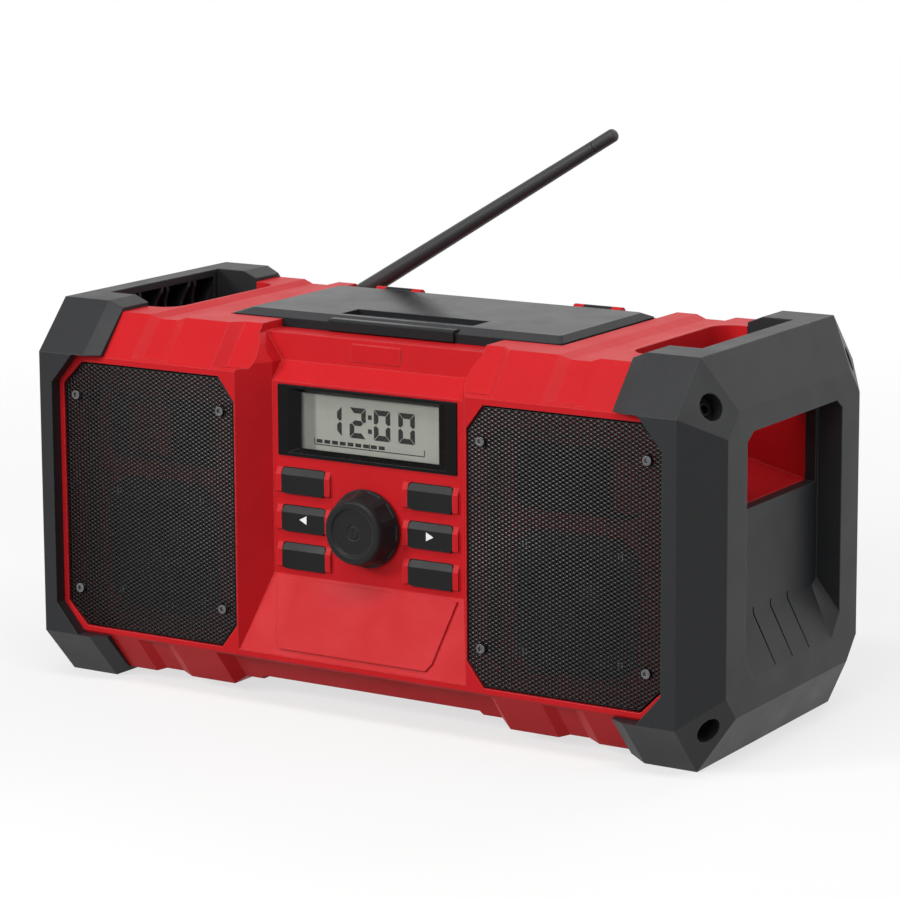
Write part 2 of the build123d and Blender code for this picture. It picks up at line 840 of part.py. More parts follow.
with BuildPart() as front_housing:
    add(casing.part)
    split(bisect_by=front_plane(split_y), keep=Keep.TOP)
    # Raised blank plaque on the chin and blank badge above the display.
    with BuildSketch(chin_frame):
        Polygon(
            (-plaque_top + plaque_cut_foot, -plaque_foot),
            (plaque_top - plaque_cut_foot, -plaque_foot),
            (plaque_top - plaque_cut_side, -plaque_foot + plaque_corner),
            (plaque_top, plaque_foot + overrun), (-plaque_top, plaque_foot + overrun),
            (-plaque_top + plaque_cut_side, -plaque_foot + plaque_corner), align=None,
        )
    extrude(amount=plaque_relief)
    with BuildSketch(front_plane(rim_y)):
        with Locations((0, (brow_z + rim_z) / 2)):
            RectangleRounded(2 * badge_half_width, badge_height, plaque_relief)
    extrude(amount=badge_relief)
    # Fixed guards either side of every key.
    for sx in (-1, 1):
        for row in (-1, 0, 1):
            low = key_z + row * key_pitch - key_height / 2
            for side in (-1, 1):
                inner = key_x * sx + side * (key_width / 2 + fit_gap)
                with BuildSketch(Plane.YZ.offset(min(inner, inner + side * stop_width))):
                    Polygon(
                        (panel_y + overrun, low), (panel_y, low), (key_front_y, low + stop_foot),
                        (key_front_y, low + key_height - key_bevel_z),
                        (panel_y, low + key_height), (panel_y + overrun, low + key_height),
                        align=None,
                    )
                extrude(amount=stop_width)
    # Posts under the control board and the main board.
    with BuildSketch(front_plane(board_y)):
        with Locations(*[
            (sx * board_foot_x, z)
            for sx in (-1, 1)
            for z in (board_low + 2 * board_post_inset, board_high - board_post_inset)
        ]):
            Circle(board_post_r)
    extrude(amount=board_set_back - wall + overrun)
    with BuildSketch(Plane.XY.offset(main_board_z)):
        with Locations(*[
            (sx * main_foot_x, y)
            for sx in (-1, 1)
            for y in (main_front_y + board_post_inset, main_rear_y - board_post_inset)
        ]):
            Circle(board_post_r)
    extrude(amount=-main_board_stand - overrun)
    # Hinge ears on the seat behind the lid.
    for sx in (-1, 1):
        for side in (-1, 1):
            ear_start = sx * hinge_x + side * (hinge_knuckle / 2 + fit_gap)
            with BuildSketch(Plane.YZ.offset(min(ear_start, ear_start + side * hinge_ear))):
                with Locations((hinge_y, hinge_z)):
                    Circle(hinge_barrel_r)
                with Locations((hinge_y, (rim_z + hinge_z) / 2)):
                    Rectangle(2 * hinge_barrel_r, hinge_rise)
                with Locations((hinge_y, hinge_z)):
                    Circle(hinge_pin_r + running, mode=Mode.SUBTRACT)
            extrude(amount=hinge_ear)
    # Screw bores: shell fixings, end caps, grilles and speakers.
    with BuildSketch(front_plane(split_y)):
        with Locations(*fix_spots):
            Circle(fix_screw_r)
    extrude(amount=fix_reach - overrun, mode=Mode.SUBTRACT)
    for frame in corner_frames(sides=(-1,)):
        with BuildSketch(frame):
            Circle(cap_screw_r)
        extrude(amount=-cap_bore_reach, mode=Mode.SUBTRACT)
    with BuildSketch(front_plane(grille_seat_y)):
        with Locations(*grille_screw_spots):
            Circle(grille_screw_r + running)
    extrude(amount=-grille_screw_length, mode=Mode.SUBTRACT)
    with BuildSketch(front_plane(baffle_y)):
        with Locations(*[spot for sx in (-1, 1) for spot in speaker_screw_spots(sx)]):
            Circle(speaker_screw_r + running)
    extrude(amount=-wall, mode=Mode.SUBTRACT)
save(front_housing, "front_housing")

flap_pivot_x = jack_x - flap_hinge_x
flap_pivot_y = casing_front + fit_gap + flap_barrel_r
with BuildPart() as rear_housing:
    add(casing.part)
    split(bisect_by=front_plane(split_y), keep=Keep.BOTTOM)
    # Battery bay, moulded with the rear shell and open at the back.
    slab(
        (-bay_half_width - wall, bay_half_width + wall), (bay_front_y - wall, casing_front),
        (bay_low - wall, bay_high + wall),
    )
    slab(
        (-bay_half_width, bay_half_width), (bay_front_y, half_depth), (bay_low, bay_high),
        Mode.SUBTRACT,
    )
    # Lugs for the rubber cover of the charging inlet.
    for side in (-1, 1):
        lug_start = jack_z + side * (flap_height / 2 + fit_gap)
        lug_z = sorted((lug_start, lug_start + side * flap_lug))
        slab(
            (flap_pivot_x - flap_lug_half, flap_pivot_x + flap_lug_half),
            (casing_front, flap_pivot_y + flap_lug_half), lug_z,
        )
    with BuildSketch(Plane.XY.offset(jack_z - flap_height)):
        with Locations((flap_pivot_x, flap_pivot_y)):
            Circle(flap_pivot_r + running)
    extrude(amount=2 * flap_height, mode=Mode.SUBTRACT)
    with BuildSketch(front_plane(casing_front + overrun)):
        with Locations((jack_x, jack_z)):
            Circle(jack_r + running)
    extrude(amount=wall + 2 * overrun, mode=Mode.SUBTRACT)
    # Swivel hole of the aerial.
    with BuildSketch(Plane.XY.offset(ledge_z)):
        with Locations((aerial_x, aerial_y)):
            Circle(swivel_stem_r + running)
    extrude(amount=-wall - overrun, mode=Mode.SUBTRACT)
    # Shell fixings and end cap screws.
    with BuildSketch(front_plane(split_y)):
        with Locations(*fix_spots):
            Circle(fix_screw_r + running)
    extrude(amount=-split_inset, mode=Mode.SUBTRACT)
    with BuildSketch(front_plane(fix_head_y)):
        with Locations(*fix_spots):
            Circle(fix_head_r + fit_gap)
    extrude(amount=-split_inset, mode=Mode.SUBTRACT)
    for frame in corner_frames(sides=(1,)):
        with BuildSketch(frame):
            Circle(cap_screw_r)
        extrude(amount=-cap_bore_reach, mode=Mode.SUBTRACT)
save(rear_housing, "rear_housing")

housing_screw_parts = [
    driven_screw(
        Plane(origin=(x, fix_head_y, z), z_dir=(0, 1, 0)), fix_head_r, fix_head_h,
        fix_screw_r - running, fix_head_y - split_y + fix_reach - 2 * overrun, fix_head_r / 2,
    )
    for x, z in fix_spots
]
with BuildPart() as housing_screws:
    for screw in housing_screw_parts:
        add(screw)
save(housing_screws, "housing_screws")

# ---------------------------------------------------------------- end caps
grip_hollow = [
    (grip_in - overrun, height - grip_skin),
    (cap_bevel_start - grip_skin / 2, height - grip_skin),
    (half_length - grip_skin, bevel_edge_z - grip_skin / 4),
    (half_length - grip_skin, grip_low + grip_skin), (grip_in - overrun, grip_low + grip_skin),
]
rib_columns = [
    (step - (grip_rib_columns - 1) / 2) * grip_rib_pitch for step in range(grip_rib_columns)
]

with BuildPart() as grip_ribs:
    # Zigzag ribs, each column a V, with their inner edges scooped for the fingers.
    with BuildSketch(Plane.YZ.offset(grip_in)):
        for middle_y in rib_columns:
            for arm in (-1, 1):
                top_y = middle_y + arm * grip_rib_spread
                foot_y = middle_y + arm * grip_rib_foot
                Polygon(
                    (top_y - grip_rib / 2, height), (top_y + grip_rib / 2, height),
                    (foot_y + grip_rib / 2, grip_low), (foot_y - grip_rib / 2, grip_low),
                    align=None,
                )
    extrude(amount=grip_width)
    with BuildSketch(front_plane(0)):
        with Locations((grip_in + grip_scoop_depth - grip_scoop_r, grip_low + grip_height / 2)):
            Circle(grip_scoop_r)
    extrude(amount=depth, both=True, mode=Mode.SUBTRACT)

with BuildPart() as grip_core:
    # The hollow of the carrying grip, open towards the hand pocket.
    with BuildSketch(front_plane(hand_half_width - grip_skin)):
        Polygon(*grip_hollow, align=None)
    extrude(amount=2 * (hand_half_width - grip_skin))
    add(grip_ribs.part, mode=Mode.SUBTRACT)

with BuildPart() as casing_room:
    # Room for the casing, less the grip and the liners of the hand pocket.
    with BuildSketch(Plane.YZ.offset(cap_inner_x - wall)):
        Polygon(*casing_ring(), align=None)
    extrude(amount=casing_end - cap_inner_x + wall)
    grip_edge = hand_half_width - fit_gap
    liner_edge = hand_half_width + liner
    slab((grip_in, casing_end), (-grip_edge, grip_edge), (grip_low, height), Mode.SUBTRACT)
    slab((cap_inner_x, casing_end), (-liner_edge, liner_edge), (liner_low, height), Mode.SUBTRACT)

recess_floor_half = recess_half_width - recess_draft
recess_floor_low = recess_low + recess_slope
slope_length = hypot(recess_depth, recess_slope)
groove_x_in = recess_groove * recess_slope / slope_length
groove_z_in = recess_groove * recess_depth / slope_length

with BuildPart() as end_cap_right:
    with BuildSketch(Plane.YZ.offset(cap_inner_x)):
        Polygon(*cap_ring(cap_lip_drop), align=None)
    with BuildSketch(Plane.YZ.offset(cap_inner_x + cap_lip_run)):
        Polygon(*cap_ring(), align=None)
    loft(ruled=True)
    with BuildSketch(Plane.YZ.offset(cap_inner_x + cap_lip_run)):
        Polygon(*cap_ring(), align=None)
    extrude(amount=cap_bevel_start - cap_inner_x - cap_lip_run)
    with BuildSketch(Plane.YZ.offset(cap_bevel_start)):
        Polygon(*cap_ring(), align=None)
    with BuildSketch(Plane.YZ.offset(half_length)):
        Polygon(*octagon(
            half_depth - cap_cut_y, cap_cut_z, bevel_edge_z, cap_face_cut_y, cap_face_cut_z
        ), align=None)
    loft(ruled=True)
    # The front and back faces of the cap are narrower than its top and bottom.
    with BuildSketch(front_plane(0)):
        Polygon(
            (cap_inner_x, 0), (half_length, 0), (half_length, height), (cap_inner_x, height),
            (cap_inner_x, bevel_edge_z), (cap_front_edge - cap_notch_x, bevel_edge_z),
            (cap_front_edge, bevel_edge_z - cap_notch_z),
            (cap_front_edge, cap_cut_z + cap_notch_z),
            (cap_front_edge - cap_notch_x, cap_cut_z), (cap_inner_x, cap_cut_z), align=None,
        )
    extrude(amount=depth, both=True, mode=Mode.INTERSECT)
    add(casing_room.part, mode=Mode.SUBTRACT)
    slab(
        (cap_inner_x - wall, grip_in), (-hand_half_width, hand_half_width),
        (grip_low - wall, height + wall), Mode.SUBTRACT,
    )
    # Side recess with its sloping foot.
    with BuildSketch(Plane.YZ.offset(half_length)):
        Polygon(
            (-recess_half_width, recess_low + recess_cut_z),
            (-recess_half_width + recess_cut_y, recess_low),
            (recess_half_width - recess_cut_y, recess_low),
            (recess_half_width, recess_low + recess_cut_z),
            (recess_half_width, grip_low - recess_top_cut_z),
            (recess_half_width - recess_top_cut_y, grip_low),
            (-recess_half_width + recess_top_cut_y, grip_low),
            (-recess_half_width, grip_low - recess_top_cut_z), align=None,
        )
    with BuildSketch(Plane.YZ.offset(recess_x)):
        Polygon(
            (-recess_floor_half, recess_floor_low + recess_floor_cut_z),
            (-recess_floor_half + recess_floor_cut_y, recess_floor_low),
            (recess_floor_half - recess_floor_cut_y, recess_floor_low),
            (recess_floor_half, recess_floor_low + recess_floor_cut_z),
            (recess_floor_half, grip_low - recess_top_cut_z),
            (recess_floor_half - recess_top_cut_y, grip_low),
            (-recess_floor_half + recess_top_cut_y, grip_low),
            (-recess_floor_half, grip_low - recess_top_cut_z), align=None,
        )
    loft(ruled=True, mode=Mode.SUBTRACT)
    for groove_y in (-recess_groove_pitch, 0, recess_groove_pitch):
        with BuildSketch(front_plane(groove_y - recess_groove / 2)):
            Polygon(
                (half_length, recess_low + recess_groove), (recess_x, recess_floor_low + wall),
                (recess_x - groove_x_in, recess_floor_low + wall),
                (recess_x - groove_x_in, recess_floor_low - groove_z_in),
                (half_length - groove_x_in, recess_low + recess_groove - groove_z_in),
                align=None,
            )
        extrude(amount=-recess_groove, mode=Mode.SUBTRACT)
    # Hand window through to the pocket.
    with BuildSketch(Plane.YZ.offset(recess_x)):
        Polygon(
            (-hand_half_width, window_low), (hand_half_width, window_low),
            (hand_half_width, grip_low - window_cut), (hand_half_width - window_cut, grip_low),
            (-hand_half_width + window_cut, grip_low), (-hand_half_width, grip_low - window_cut),
            align=None,
        )
    extrude(amount=-(recess_x - grip_in), mode=Mode.SUBTRACT)
    add(grip_core.part, mode=Mode.SUBTRACT)
    for frame in corner_frames(ends=(1,)):
        with BuildSketch(frame.offset(-corner_bore_depth)):
            Circle(corner_bore_r)
        extrude(amount=2 * corner_bore_depth, mode=Mode.SUBTRACT)
        with BuildSketch(frame):
            Circle(cap_hole_r)
        extrude(amount=-cap_bore_reach, mode=Mode.SUBTRACT)
save(end_cap_right, "end_cap_right")

with BuildPart() as end_cap_left:
    mirror(end_cap_right.part, about=Plane.YZ)
save(end_cap_left, "end_cap_left")

end_cap_screw_parts = [
    driven_screw(
        frame.offset(-corner_bore_depth), cap_screw_head_r, cap_screw_head_h,
        cap_screw_r - running, cap_screw_length, cap_screw_head_r / 2,
    )
    for frame in corner_frames()
]
with BuildPart() as end_cap_screws:
    for screw in end_cap_screw_parts:
        add(screw)
save(end_cap_screws, "end_cap_screws")

# ---------------------------------------------------------------- grilles
for sx, side_name in ((-1, "left"), (1, "right")):
    with BuildPart() as grille:
        with BuildSketch(front_plane(grille_seat_y)):
            with Locations((sx * grille_x, 0)):
                Polygon(*grille_outline(sx), align=None)
        extrude(amount=grille_fold)
        chamfer(grille.faces().sort_by(Axis.Y)[0].outer_wire().edges(), grille_thickness / 2)
        with BuildSketch(front_plane(grille_seat_y)):
            with Locations((sx * grille_x, 0)):
                Polygon(*grille_outline(sx, -grille_thickness), align=None)
        extrude(amount=grille_fold - grille_thickness, mode=Mode.SUBTRACT)
        with BuildSketch(front_plane(grille_seat_y)):
            with Locations(*[spot for spot in grille_screw_spots if spot[0] * sx > 0]):
                Circle(grille_screw_r + running)
        extrude(amount=grille_fold, mode=Mode.SUBTRACT)
    save(grille, "grille_" + side_name)

grille_screw_parts = [
    driven_screw(
        front_plane(grille_front_y, x, z), grille_screw_head_r, grille_screw_head_h,
        grille_screw_r, grille_fold + grille_screw_length - overrun, grille_screw_head_r / 2,
    )
    for x, z in grille_screw_spots
]
with BuildPart() as grille_screws:
    for screw in grille_screw_parts:
        add(screw)
save(grille_screws, "grille_screws")

# ---------------------------------------------------------------- speakers
flange_y = baffle_y - speaker_flange_t
plate_y = baffle_y - speaker_plate_t
basket_y = baffle_y + basket_depth
basket_flange_r = basket_r - basket_wall
cone_edge_y = flange_y + coil_wall / 2
throat_y = cone_edge_y + cone_depth
coil_in_r = pole_r + coil_clearance
coil_out_r = coil_in_r + coil_wall
magnet_gap_r = coil_out_r + coil_clearance
plate_octagon = octagon(
    speaker_plate_half, -speaker_plate_half, speaker_plate_half, speaker_plate_cut,
    speaker_plate_cut,
)
mouth_octagon = octagon(
    speaker_window_half, -speaker_window_half, speaker_window_half, speaker_window_cut_x,
    speaker_window_cut_z,
)


def dome_arc(edge_r, top_y):
    """Half section of the dust cap's dome, square to its axis at the top."""
    dome_r = (edge_r ** 2 + dust_cap_rise ** 2) / (2 * dust_cap_rise)
    half_sag = dome_r - sqrt(dome_r ** 2 - (edge_r / 2) ** 2)
    return ThreePointArc(
        (0, top_y), (edge_r / 2, top_y + half_sag), (edge_r, top_y + dust_cap_rise)
    )


def basket_windows(x):
    """Waste between the four spokes of a speaker basket."""
    with BuildPart() as windows:
        with BuildSketch(turning_plane(x, speaker_z)):
            Polygon(
                (basket_back_r + basket_wall, baffle_y + 2 * basket_wall),
                (basket_r + wall, baffle_y + 2 * basket_wall),
                (basket_r + wall, basket_y - 2 * basket_wall),
                (basket_back_r + basket_wall, basket_y - 2 * basket_wall), align=None,
            )
        revolve(axis=turning_axis(x, speaker_z))
        for spread in ((basket_spoke / 2, far), (far, basket_spoke / 2)):
            slab(
                (x - spread[0], x + spread[0]), (baffle_y, basket_y),
                (speaker_z - spread[1], speaker_z + spread[1]), Mode.SUBTRACT,
            )
    return windows.part


for sx, side_name in ((-1, "left"), (1, "right")):
    speaker_x = sx * grille_x
    disc_plane = turning_plane(speaker_x, speaker_z)
    disc_axis = turning_axis(speaker_x, speaker_z)
    window_waste = basket_windows(speaker_x)
    with BuildPart() as speaker_frame:
        with BuildSketch(front_plane(baffle_y)):
            with Locations((speaker_x, speaker_z)):
                Polygon(*plate_octagon, align=None)
                Circle(basket_flange_r, mode=Mode.SUBTRACT)
        extrude(amount=speaker_plate_t)
        # Mouth with a bevelled lip.
        with BuildSketch(front_plane(flange_y)):
            with Locations((speaker_x, speaker_z)):
                Polygon(*mouth_octagon, align=None)
        extrude(amount=speaker_plate_t, taper=-speaker_lip_taper, mode=Mode.SUBTRACT)
        # Pressed basket, open between four spokes.
        with BuildSketch(disc_plane):
            Polygon(
                (basket_flange_r, baffle_y), (basket_r, baffle_y),
                (basket_r, baffle_y + 2 * basket_wall), (basket_back_r, basket_y),
                (magnet_gap_r + coil_clearance, basket_y),
                (magnet_gap_r + coil_clearance, basket_y - basket_wall),
                (basket_back_r - basket_wall / 2, basket_y - basket_wall),
                (basket_flange_r, baffle_y + 1.5 * basket_wall), align=None,
            )
        revolve(axis=disc_axis)
        add(window_waste, mode=Mode.SUBTRACT)
        with BuildSketch(front_plane(baffle_y)):
            with Locations(*speaker_screw_spots(sx)):
                Circle(speaker_screw_r + running)
        extrude(amount=speaker_plate_t, mode=Mode.SUBTRACT)
    save(speaker_frame, "speaker_frame_" + side_name)

    with BuildPart() as speaker_magnet:
        with BuildSketch(disc_plane):
            Polygon(
                (0, basket_y - pole_proud), (pole_r, basket_y - pole_proud),
                (pole_r, basket_y + magnet_gap_depth), (magnet_gap_r, basket_y + magnet_gap_depth),
                (magnet_gap_r, basket_y), (magnet_r, basket_y),
                (magnet_r, basket_y + magnet_depth), (0, basket_y + magnet_depth), align=None,
            )
        revolve(axis=disc_axis)
    save(speaker_magnet, "speaker_magnet_" + side_name)

    roll_in = cone_r + fit_gap
    roll_r = (basket_flange_r - roll_in) / 2
    with BuildPart() as speaker_surround:
        # Foam edge: a half roll with a flat lip glued to the flange.
        with BuildSketch(disc_plane):
            with Locations((roll_in + roll_r, flange_y)):
                Circle(roll_r)
                Circle(roll_r - surround_t, mode=Mode.SUBTRACT)
                Rectangle(
                    3 * roll_r, 2 * roll_r, align=(Align.CENTER, Align.MIN), mode=Mode.SUBTRACT
                )
            with Locations((basket_flange_r - surround_t / 2, flange_y)):
                Rectangle(surround_lip + surround_t / 2, surround_t, align=(Align.MIN, Align.MAX))
        revolve(axis=disc_axis)
    save(speaker_surround, "speaker_surround_" + side_name)

    cap_front_y = throat_y - cone_wall - dust_cap_rise
    with BuildPart() as speaker_cone:
        # Thin cone with a domed dust cap and the voice coil behind it.
        with BuildSketch(disc_plane):
            with BuildLine():
                dome_arc(cone_throat_r, cap_front_y)
                Polyline(
                    (cone_throat_r, throat_y - cone_wall), (cone_r, cone_edge_y - cone_wall),
                    (cone_r, cone_edge_y), (cone_throat_r, throat_y), (coil_out_r, throat_y),
                    (coil_out_r, throat_y + coil_length), (coil_in_r, throat_y + coil_length),
                    (coil_in_r, throat_y),
                )
                dome_arc(coil_in_r, cap_front_y + cone_wall)
                Line((0, cap_front_y + cone_wall), (0, cap_front_y))
            make_face()
        revolve(axis=disc_axis)
    save(speaker_cone, "speaker_cone_" + side_name)

speaker_screw_parts = [
    driven_screw(
        front_plane(plate_y, x, z), speaker_screw_head_r, speaker_screw_head_h,
        speaker_screw_r, speaker_plate_t + wall, speaker_screw_head_r / 2,
    )
    for sx in (-1, 1)
    for x, z in speaker_screw_spots(sx)
]
with BuildPart() as speaker_screws:
    for screw in speaker_screw_parts:
        add(screw)
save(speaker_screws, "speaker_screws")

# ---------------------------------------------------------------- lid, latch and tray
lid_mid_y = (lid_front_y + lid_rear_y) / 2
crown_front_y = lid_front_y + lid_bevel_front
crown_rear_y = lid_rear_y - lid_bevel_rear
pull_front_y = crown_front_y + lid_pull_gap
pull_rear_y = pull_front_y + lid_pull_width
pull_z = lid_top - lid_pull_depth
notch_half = latch_half_width + fit_gap
notch_rear_y = latch_pivot_y + latch_barrel_r + fit_gap
with BuildPart() as lid:
    with BuildSketch(Plane.XY.offset(lid_low)):
        with Locations((0, lid_mid_y)):
            RectangleRounded(2 * lid_half_width, lid_rear_y - lid_front_y, wall)
    extrude(amount=lid_skirt)
    with BuildSketch(Plane.XY.offset(lid_skirt_high)):
        with Locations((0, lid_mid_y)):
            RectangleRounded(2 * lid_half_width, lid_rear_y - lid_front_y, wall)
    with BuildSketch(Plane.XY.offset(lid_top)):
        with Locations((0, (crown_front_y + crown_rear_y) / 2)):
            RectangleRounded(
                2 * (lid_half_width - lid_bevel_x), crown_rear_y - crown_front_y, wall
            )
    loft(ruled=True)
    slab(
        (-lid_half_width + lid_wall, lid_half_width - lid_wall),
        (lid_front_y + lid_wall, lid_rear_y - lid_wall), (lid_low, lid_under - fit_gap),
        Mode.SUBTRACT,
    )
    # Ears and back wall of the latch notch, then the notch itself.
    slab(
        (-notch_half - latch_ear, notch_half + latch_ear),
        (lid_front_y, notch_rear_y + latch_notch_wall), (lid_low, lid_skirt_high),
    )
    slab(
        (-notch_half, notch_half), (lid_front_y - wall, notch_rear_y), (rim_z, lid_top + wall),
        Mode.SUBTRACT,
    )
    with BuildSketch(Plane.YZ.offset(-notch_half - latch_ear)):
        with Locations((latch_pivot_y, latch_pivot_z)):
            Circle(latch_pin_r + running)
    extrude(amount=2 * (notch_half + latch_ear), mode=Mode.SUBTRACT)
    # Finger recess on the crown, behind the latch, with a floor of its own under it.
    slab(
        (-lid_pull_half_width - lid_pull_floor, lid_pull_half_width + lid_pull_floor),
        (pull_front_y - lid_pull_floor, pull_rear_y + lid_pull_floor),
        (pull_z - lid_pull_floor, lid_under),
    )
    slab(
        (-lid_pull_half_width, lid_pull_half_width), (pull_front_y, pull_rear_y),
        (pull_z, height), Mode.SUBTRACT,
    )
    # Hinge knuckles on short arms.
    for sx in (-1, 1):
        with BuildSketch(Plane.YZ.offset(sx * hinge_x - hinge_knuckle / 2)):
            with Locations((hinge_y, hinge_z)):
                Circle(hinge_barrel_r)
            Polygon(
                (lid_rear_y - lid_wall / 2, hinge_z - hinge_pin_r),
                (hinge_y, hinge_z - hinge_pin_r),
                (hinge_y, hinge_z + hinge_barrel_r - hinge_arm_drop),
                (lid_rear_y - lid_wall / 2, lid_skirt_high), align=None,
            )
            with Locations((hinge_y, hinge_z)):
                Circle(hinge_pin_r + running, mode=Mode.SUBTRACT)
        extrude(amount=hinge_knuckle)
save(lid, "lid")

with BuildPart() as lid_hinge_pins:
    pin_reach = hinge_knuckle / 2 + fit_gap + hinge_ear
    for sx in (-1, 1):
        with BuildSketch(Plane.YZ.offset(sx * hinge_x - pin_reach)):
            with Locations((hinge_y, hinge_z)):
                Circle(hinge_pin_r)
        extrude(amount=2 * pin_reach)
save(lid_hinge_pins, "lid_hinge_pins")

with BuildPart() as latch:
    # Pull bar of the lid latch, turning in the notch.
    latch_front_y = lid_front_y - latch_proud
    latch_top = lid_top - latch_sunk
    latch_low = rim_z + 2 * fit_gap
    with BuildSketch(Plane.YZ.offset(-latch_half_width)):
        Polygon(
            (latch_front_y, latch_low), (latch_pivot_y - latch_proud, latch_low),
            (latch_pivot_y, latch_pivot_z - latch_barrel_r),
            (latch_pivot_y + latch_back, latch_pivot_z),
            (latch_pivot_y + latch_back, latch_top), (lid_front_y, latch_top),
            (latch_front_y, latch_top - latch_back), align=None,
        )
        with Locations((latch_pivot_y, latch_pivot_z)):
            Circle(latch_barrel_r)
            Circle(latch_pin_r + running, mode=Mode.SUBTRACT)
    extrude(amount=2 * latch_half_width)
    fillet(latch.edges().filter_by(Axis.X).group_by(Axis.Y)[0], latch_round)
save(latch, "latch")

with BuildPart() as latch_pin:
    with BuildSketch(Plane.YZ.offset(-notch_half - latch_ear)):
        with Locations((latch_pivot_y, latch_pivot_z)):
            Circle(latch_pin_r)
    extrude(amount=2 * (notch_half + latch_ear))
save(latch_pin, "latch_pin")

tray_half_y = (tray_rear_y - tray_front_y) / 2
usb_y = tray_mid_y + socket_spacing / 2
aux_y = tray_mid_y - socket_spacing / 2
usb_roof_z = socket_z + usb_height / 2 - usb_shell
with BuildPart() as compartment_tray:
    with BuildSketch(Plane.XY.offset(tray_low)):
        with Locations((0, tray_mid_y)):
            RectangleRounded(2 * tray_half_width, 2 * tray_half_y, tray_flange)
    extrude(amount=tray_high - tray_low)
    with BuildSketch(Plane.XY.offset(rim_z)):
        with Locations((0, tray_mid_y)):
            RectangleRounded(
                2 * (tray_half_width + tray_flange), 2 * (tray_half_y + tray_flange), tray_flange
            )
    extrude(amount=tray_flange_t)
    with BuildSketch(Plane.XY.offset(tray_low + tray_wall)):
        with Locations((0, tray_mid_y)):
            RectangleRounded(
                2 * (tray_half_width - tray_wall), 2 * (tray_half_y - tray_wall),
                tray_flange - tray_wall,
            )
    extrude(amount=tray_depth + tray_flange_t, mode=Mode.SUBTRACT)
    # Socket openings in the right-hand wall.
    wall_start = tray_half_width - tray_wall
    with BuildSketch(Plane.YZ.offset(wall_start - overrun)):
        with Locations((usb_y, socket_z)):
            Rectangle(usb_width + 2 * running, usb_height + 2 * running)
        with Locations((aux_y, socket_z)):
            Circle(aux_barrel_r + running)
    extrude(amount=tray_wall + 2 * overrun, mode=Mode.SUBTRACT)
save(compartment_tray, "compartment_tray")

with BuildPart() as lid_seal:
    # Rubber strip round the mouth of the tray, under the lid.
    with BuildSketch(Plane.XY.offset(tray_high)):
        with Locations((0, tray_mid_y)):
            seal_edge = tray_flange - fit_gap
            RectangleRounded(
                2 * (tray_half_width + seal_edge), 2 * (tray_half_y + seal_edge), seal_edge
            )
            RectangleRounded(
                2 * (tray_half_width + seal_edge - seal_width),
                2 * (tray_half_y + seal_edge - seal_width), seal_edge / 2, mode=Mode.SUBTRACT,
            )
    extrude(amount=lid_under - 2 * fit_gap - tray_high)
save(lid_seal, "lid_seal")

with BuildPart() as usb_port:
    # Metal shell with its tongue, on a moulded block behind the tray wall.
    slab(
        (wall_start, tray_half_width), (usb_y - usb_width / 2, usb_y + usb_width / 2),
        (socket_z - usb_height / 2, socket_z + usb_height / 2),
    )
    slab(
        (tray_half_width, tray_half_width + socket_body_depth),
        (usb_y - usb_width / 2 - usb_shell, usb_y + usb_width / 2 + usb_shell),
        (socket_z - usb_height / 2 - usb_shell, socket_z + usb_height / 2 + usb_shell),
    )
    slab(
        (wall_start, tray_half_width + socket_body_depth - tray_wall),
        (usb_y - usb_width / 2 + usb_shell, usb_y + usb_width / 2 - usb_shell),
        (socket_z - usb_height / 2 + usb_shell, socket_z + usb_height / 2 - usb_shell),
        Mode.SUBTRACT,
    )
    slab(
        (wall_start + usb_shell, tray_half_width + socket_body_depth - tray_wall),
        (usb_y - usb_width / 2 + 2 * usb_shell, usb_y + usb_width / 2 - 2 * usb_shell),
        (usb_roof_z - usb_tongue, usb_roof_z),
    )
save(usb_port, "usb_port")

with BuildPart() as aux_jack:
    with BuildSketch(Plane.YZ.offset(wall_start)):
        with Locations((aux_y, socket_z)):
            Circle(aux_barrel_r)
    extrude(amount=tray_wall)
    slab(
        (tray_half_width, tray_half_width + socket_body_depth),
        (aux_y - aux_body / 2, aux_y + aux_body / 2),
        (socket_z - aux_body / 2, socket_z + aux_body / 2),
    )
    with BuildSketch(Plane.YZ.offset(wall_start)):
        with Locations((aux_y, socket_z)):
            Circle(aux_r)
    extrude(amount=socket_body_depth, mode=Mode.SUBTRACT)
save(aux_jack, "aux_jack")

# ---------------------------------------------------------------- display and boards
glass_mid_z = (glass_low + glass_high) / 2
bezel_mid_z = (bezel_low + bezel_high) / 2
bezel_back_y = glass_y + glass_t
with BuildPart() as display_bezel:
    with BuildSketch(front_plane(bezel_back_y)):
        with Locations((0, bezel_mid_z)):
            Rectangle(2 * bezel_half_width, bezel_height)
    extrude(amount=bezel_back_y - bezel_front_y)
    # Flanges that bear on the back of the panel.
    with BuildSketch(front_plane(bezel_back_y)):
        with Locations((0, bezel_mid_z)):
            Rectangle(2 * (bezel_half_width + bezel_flange), bezel_height - 2 * bezel_flange)
        with Locations((0, bezel_low)):
            Rectangle(2 * bezel_half_width - 2 * bezel_flange, 2 * bezel_flange)
    extrude(amount=bezel_flange_t)
    # Sloping sides down to the window.
    with BuildSketch(front_plane(glass_y)):
        with Locations((0, glass_mid_z)):
            Rectangle(2 * glass_half_width, glass_height)
    with BuildSketch(front_plane(bezel_front_y)):
        with Locations((0, glass_mid_z)):
            Rectangle(
                2 * (glass_half_width + glass_splay), glass_height + 2 * bezel_margin
            )
    loft(ruled=True, mode=Mode.SUBTRACT)
    with BuildSketch(front_plane(bezel_back_y)):
        with Locations((0, glass_mid_z)):
            Rectangle(2 * (glass_half_width + glass_lap), glass_height + 2 * glass_lap)
    extrude(amount=glass_t, mode=Mode.SUBTRACT)
save(display_bezel, "display_bezel")

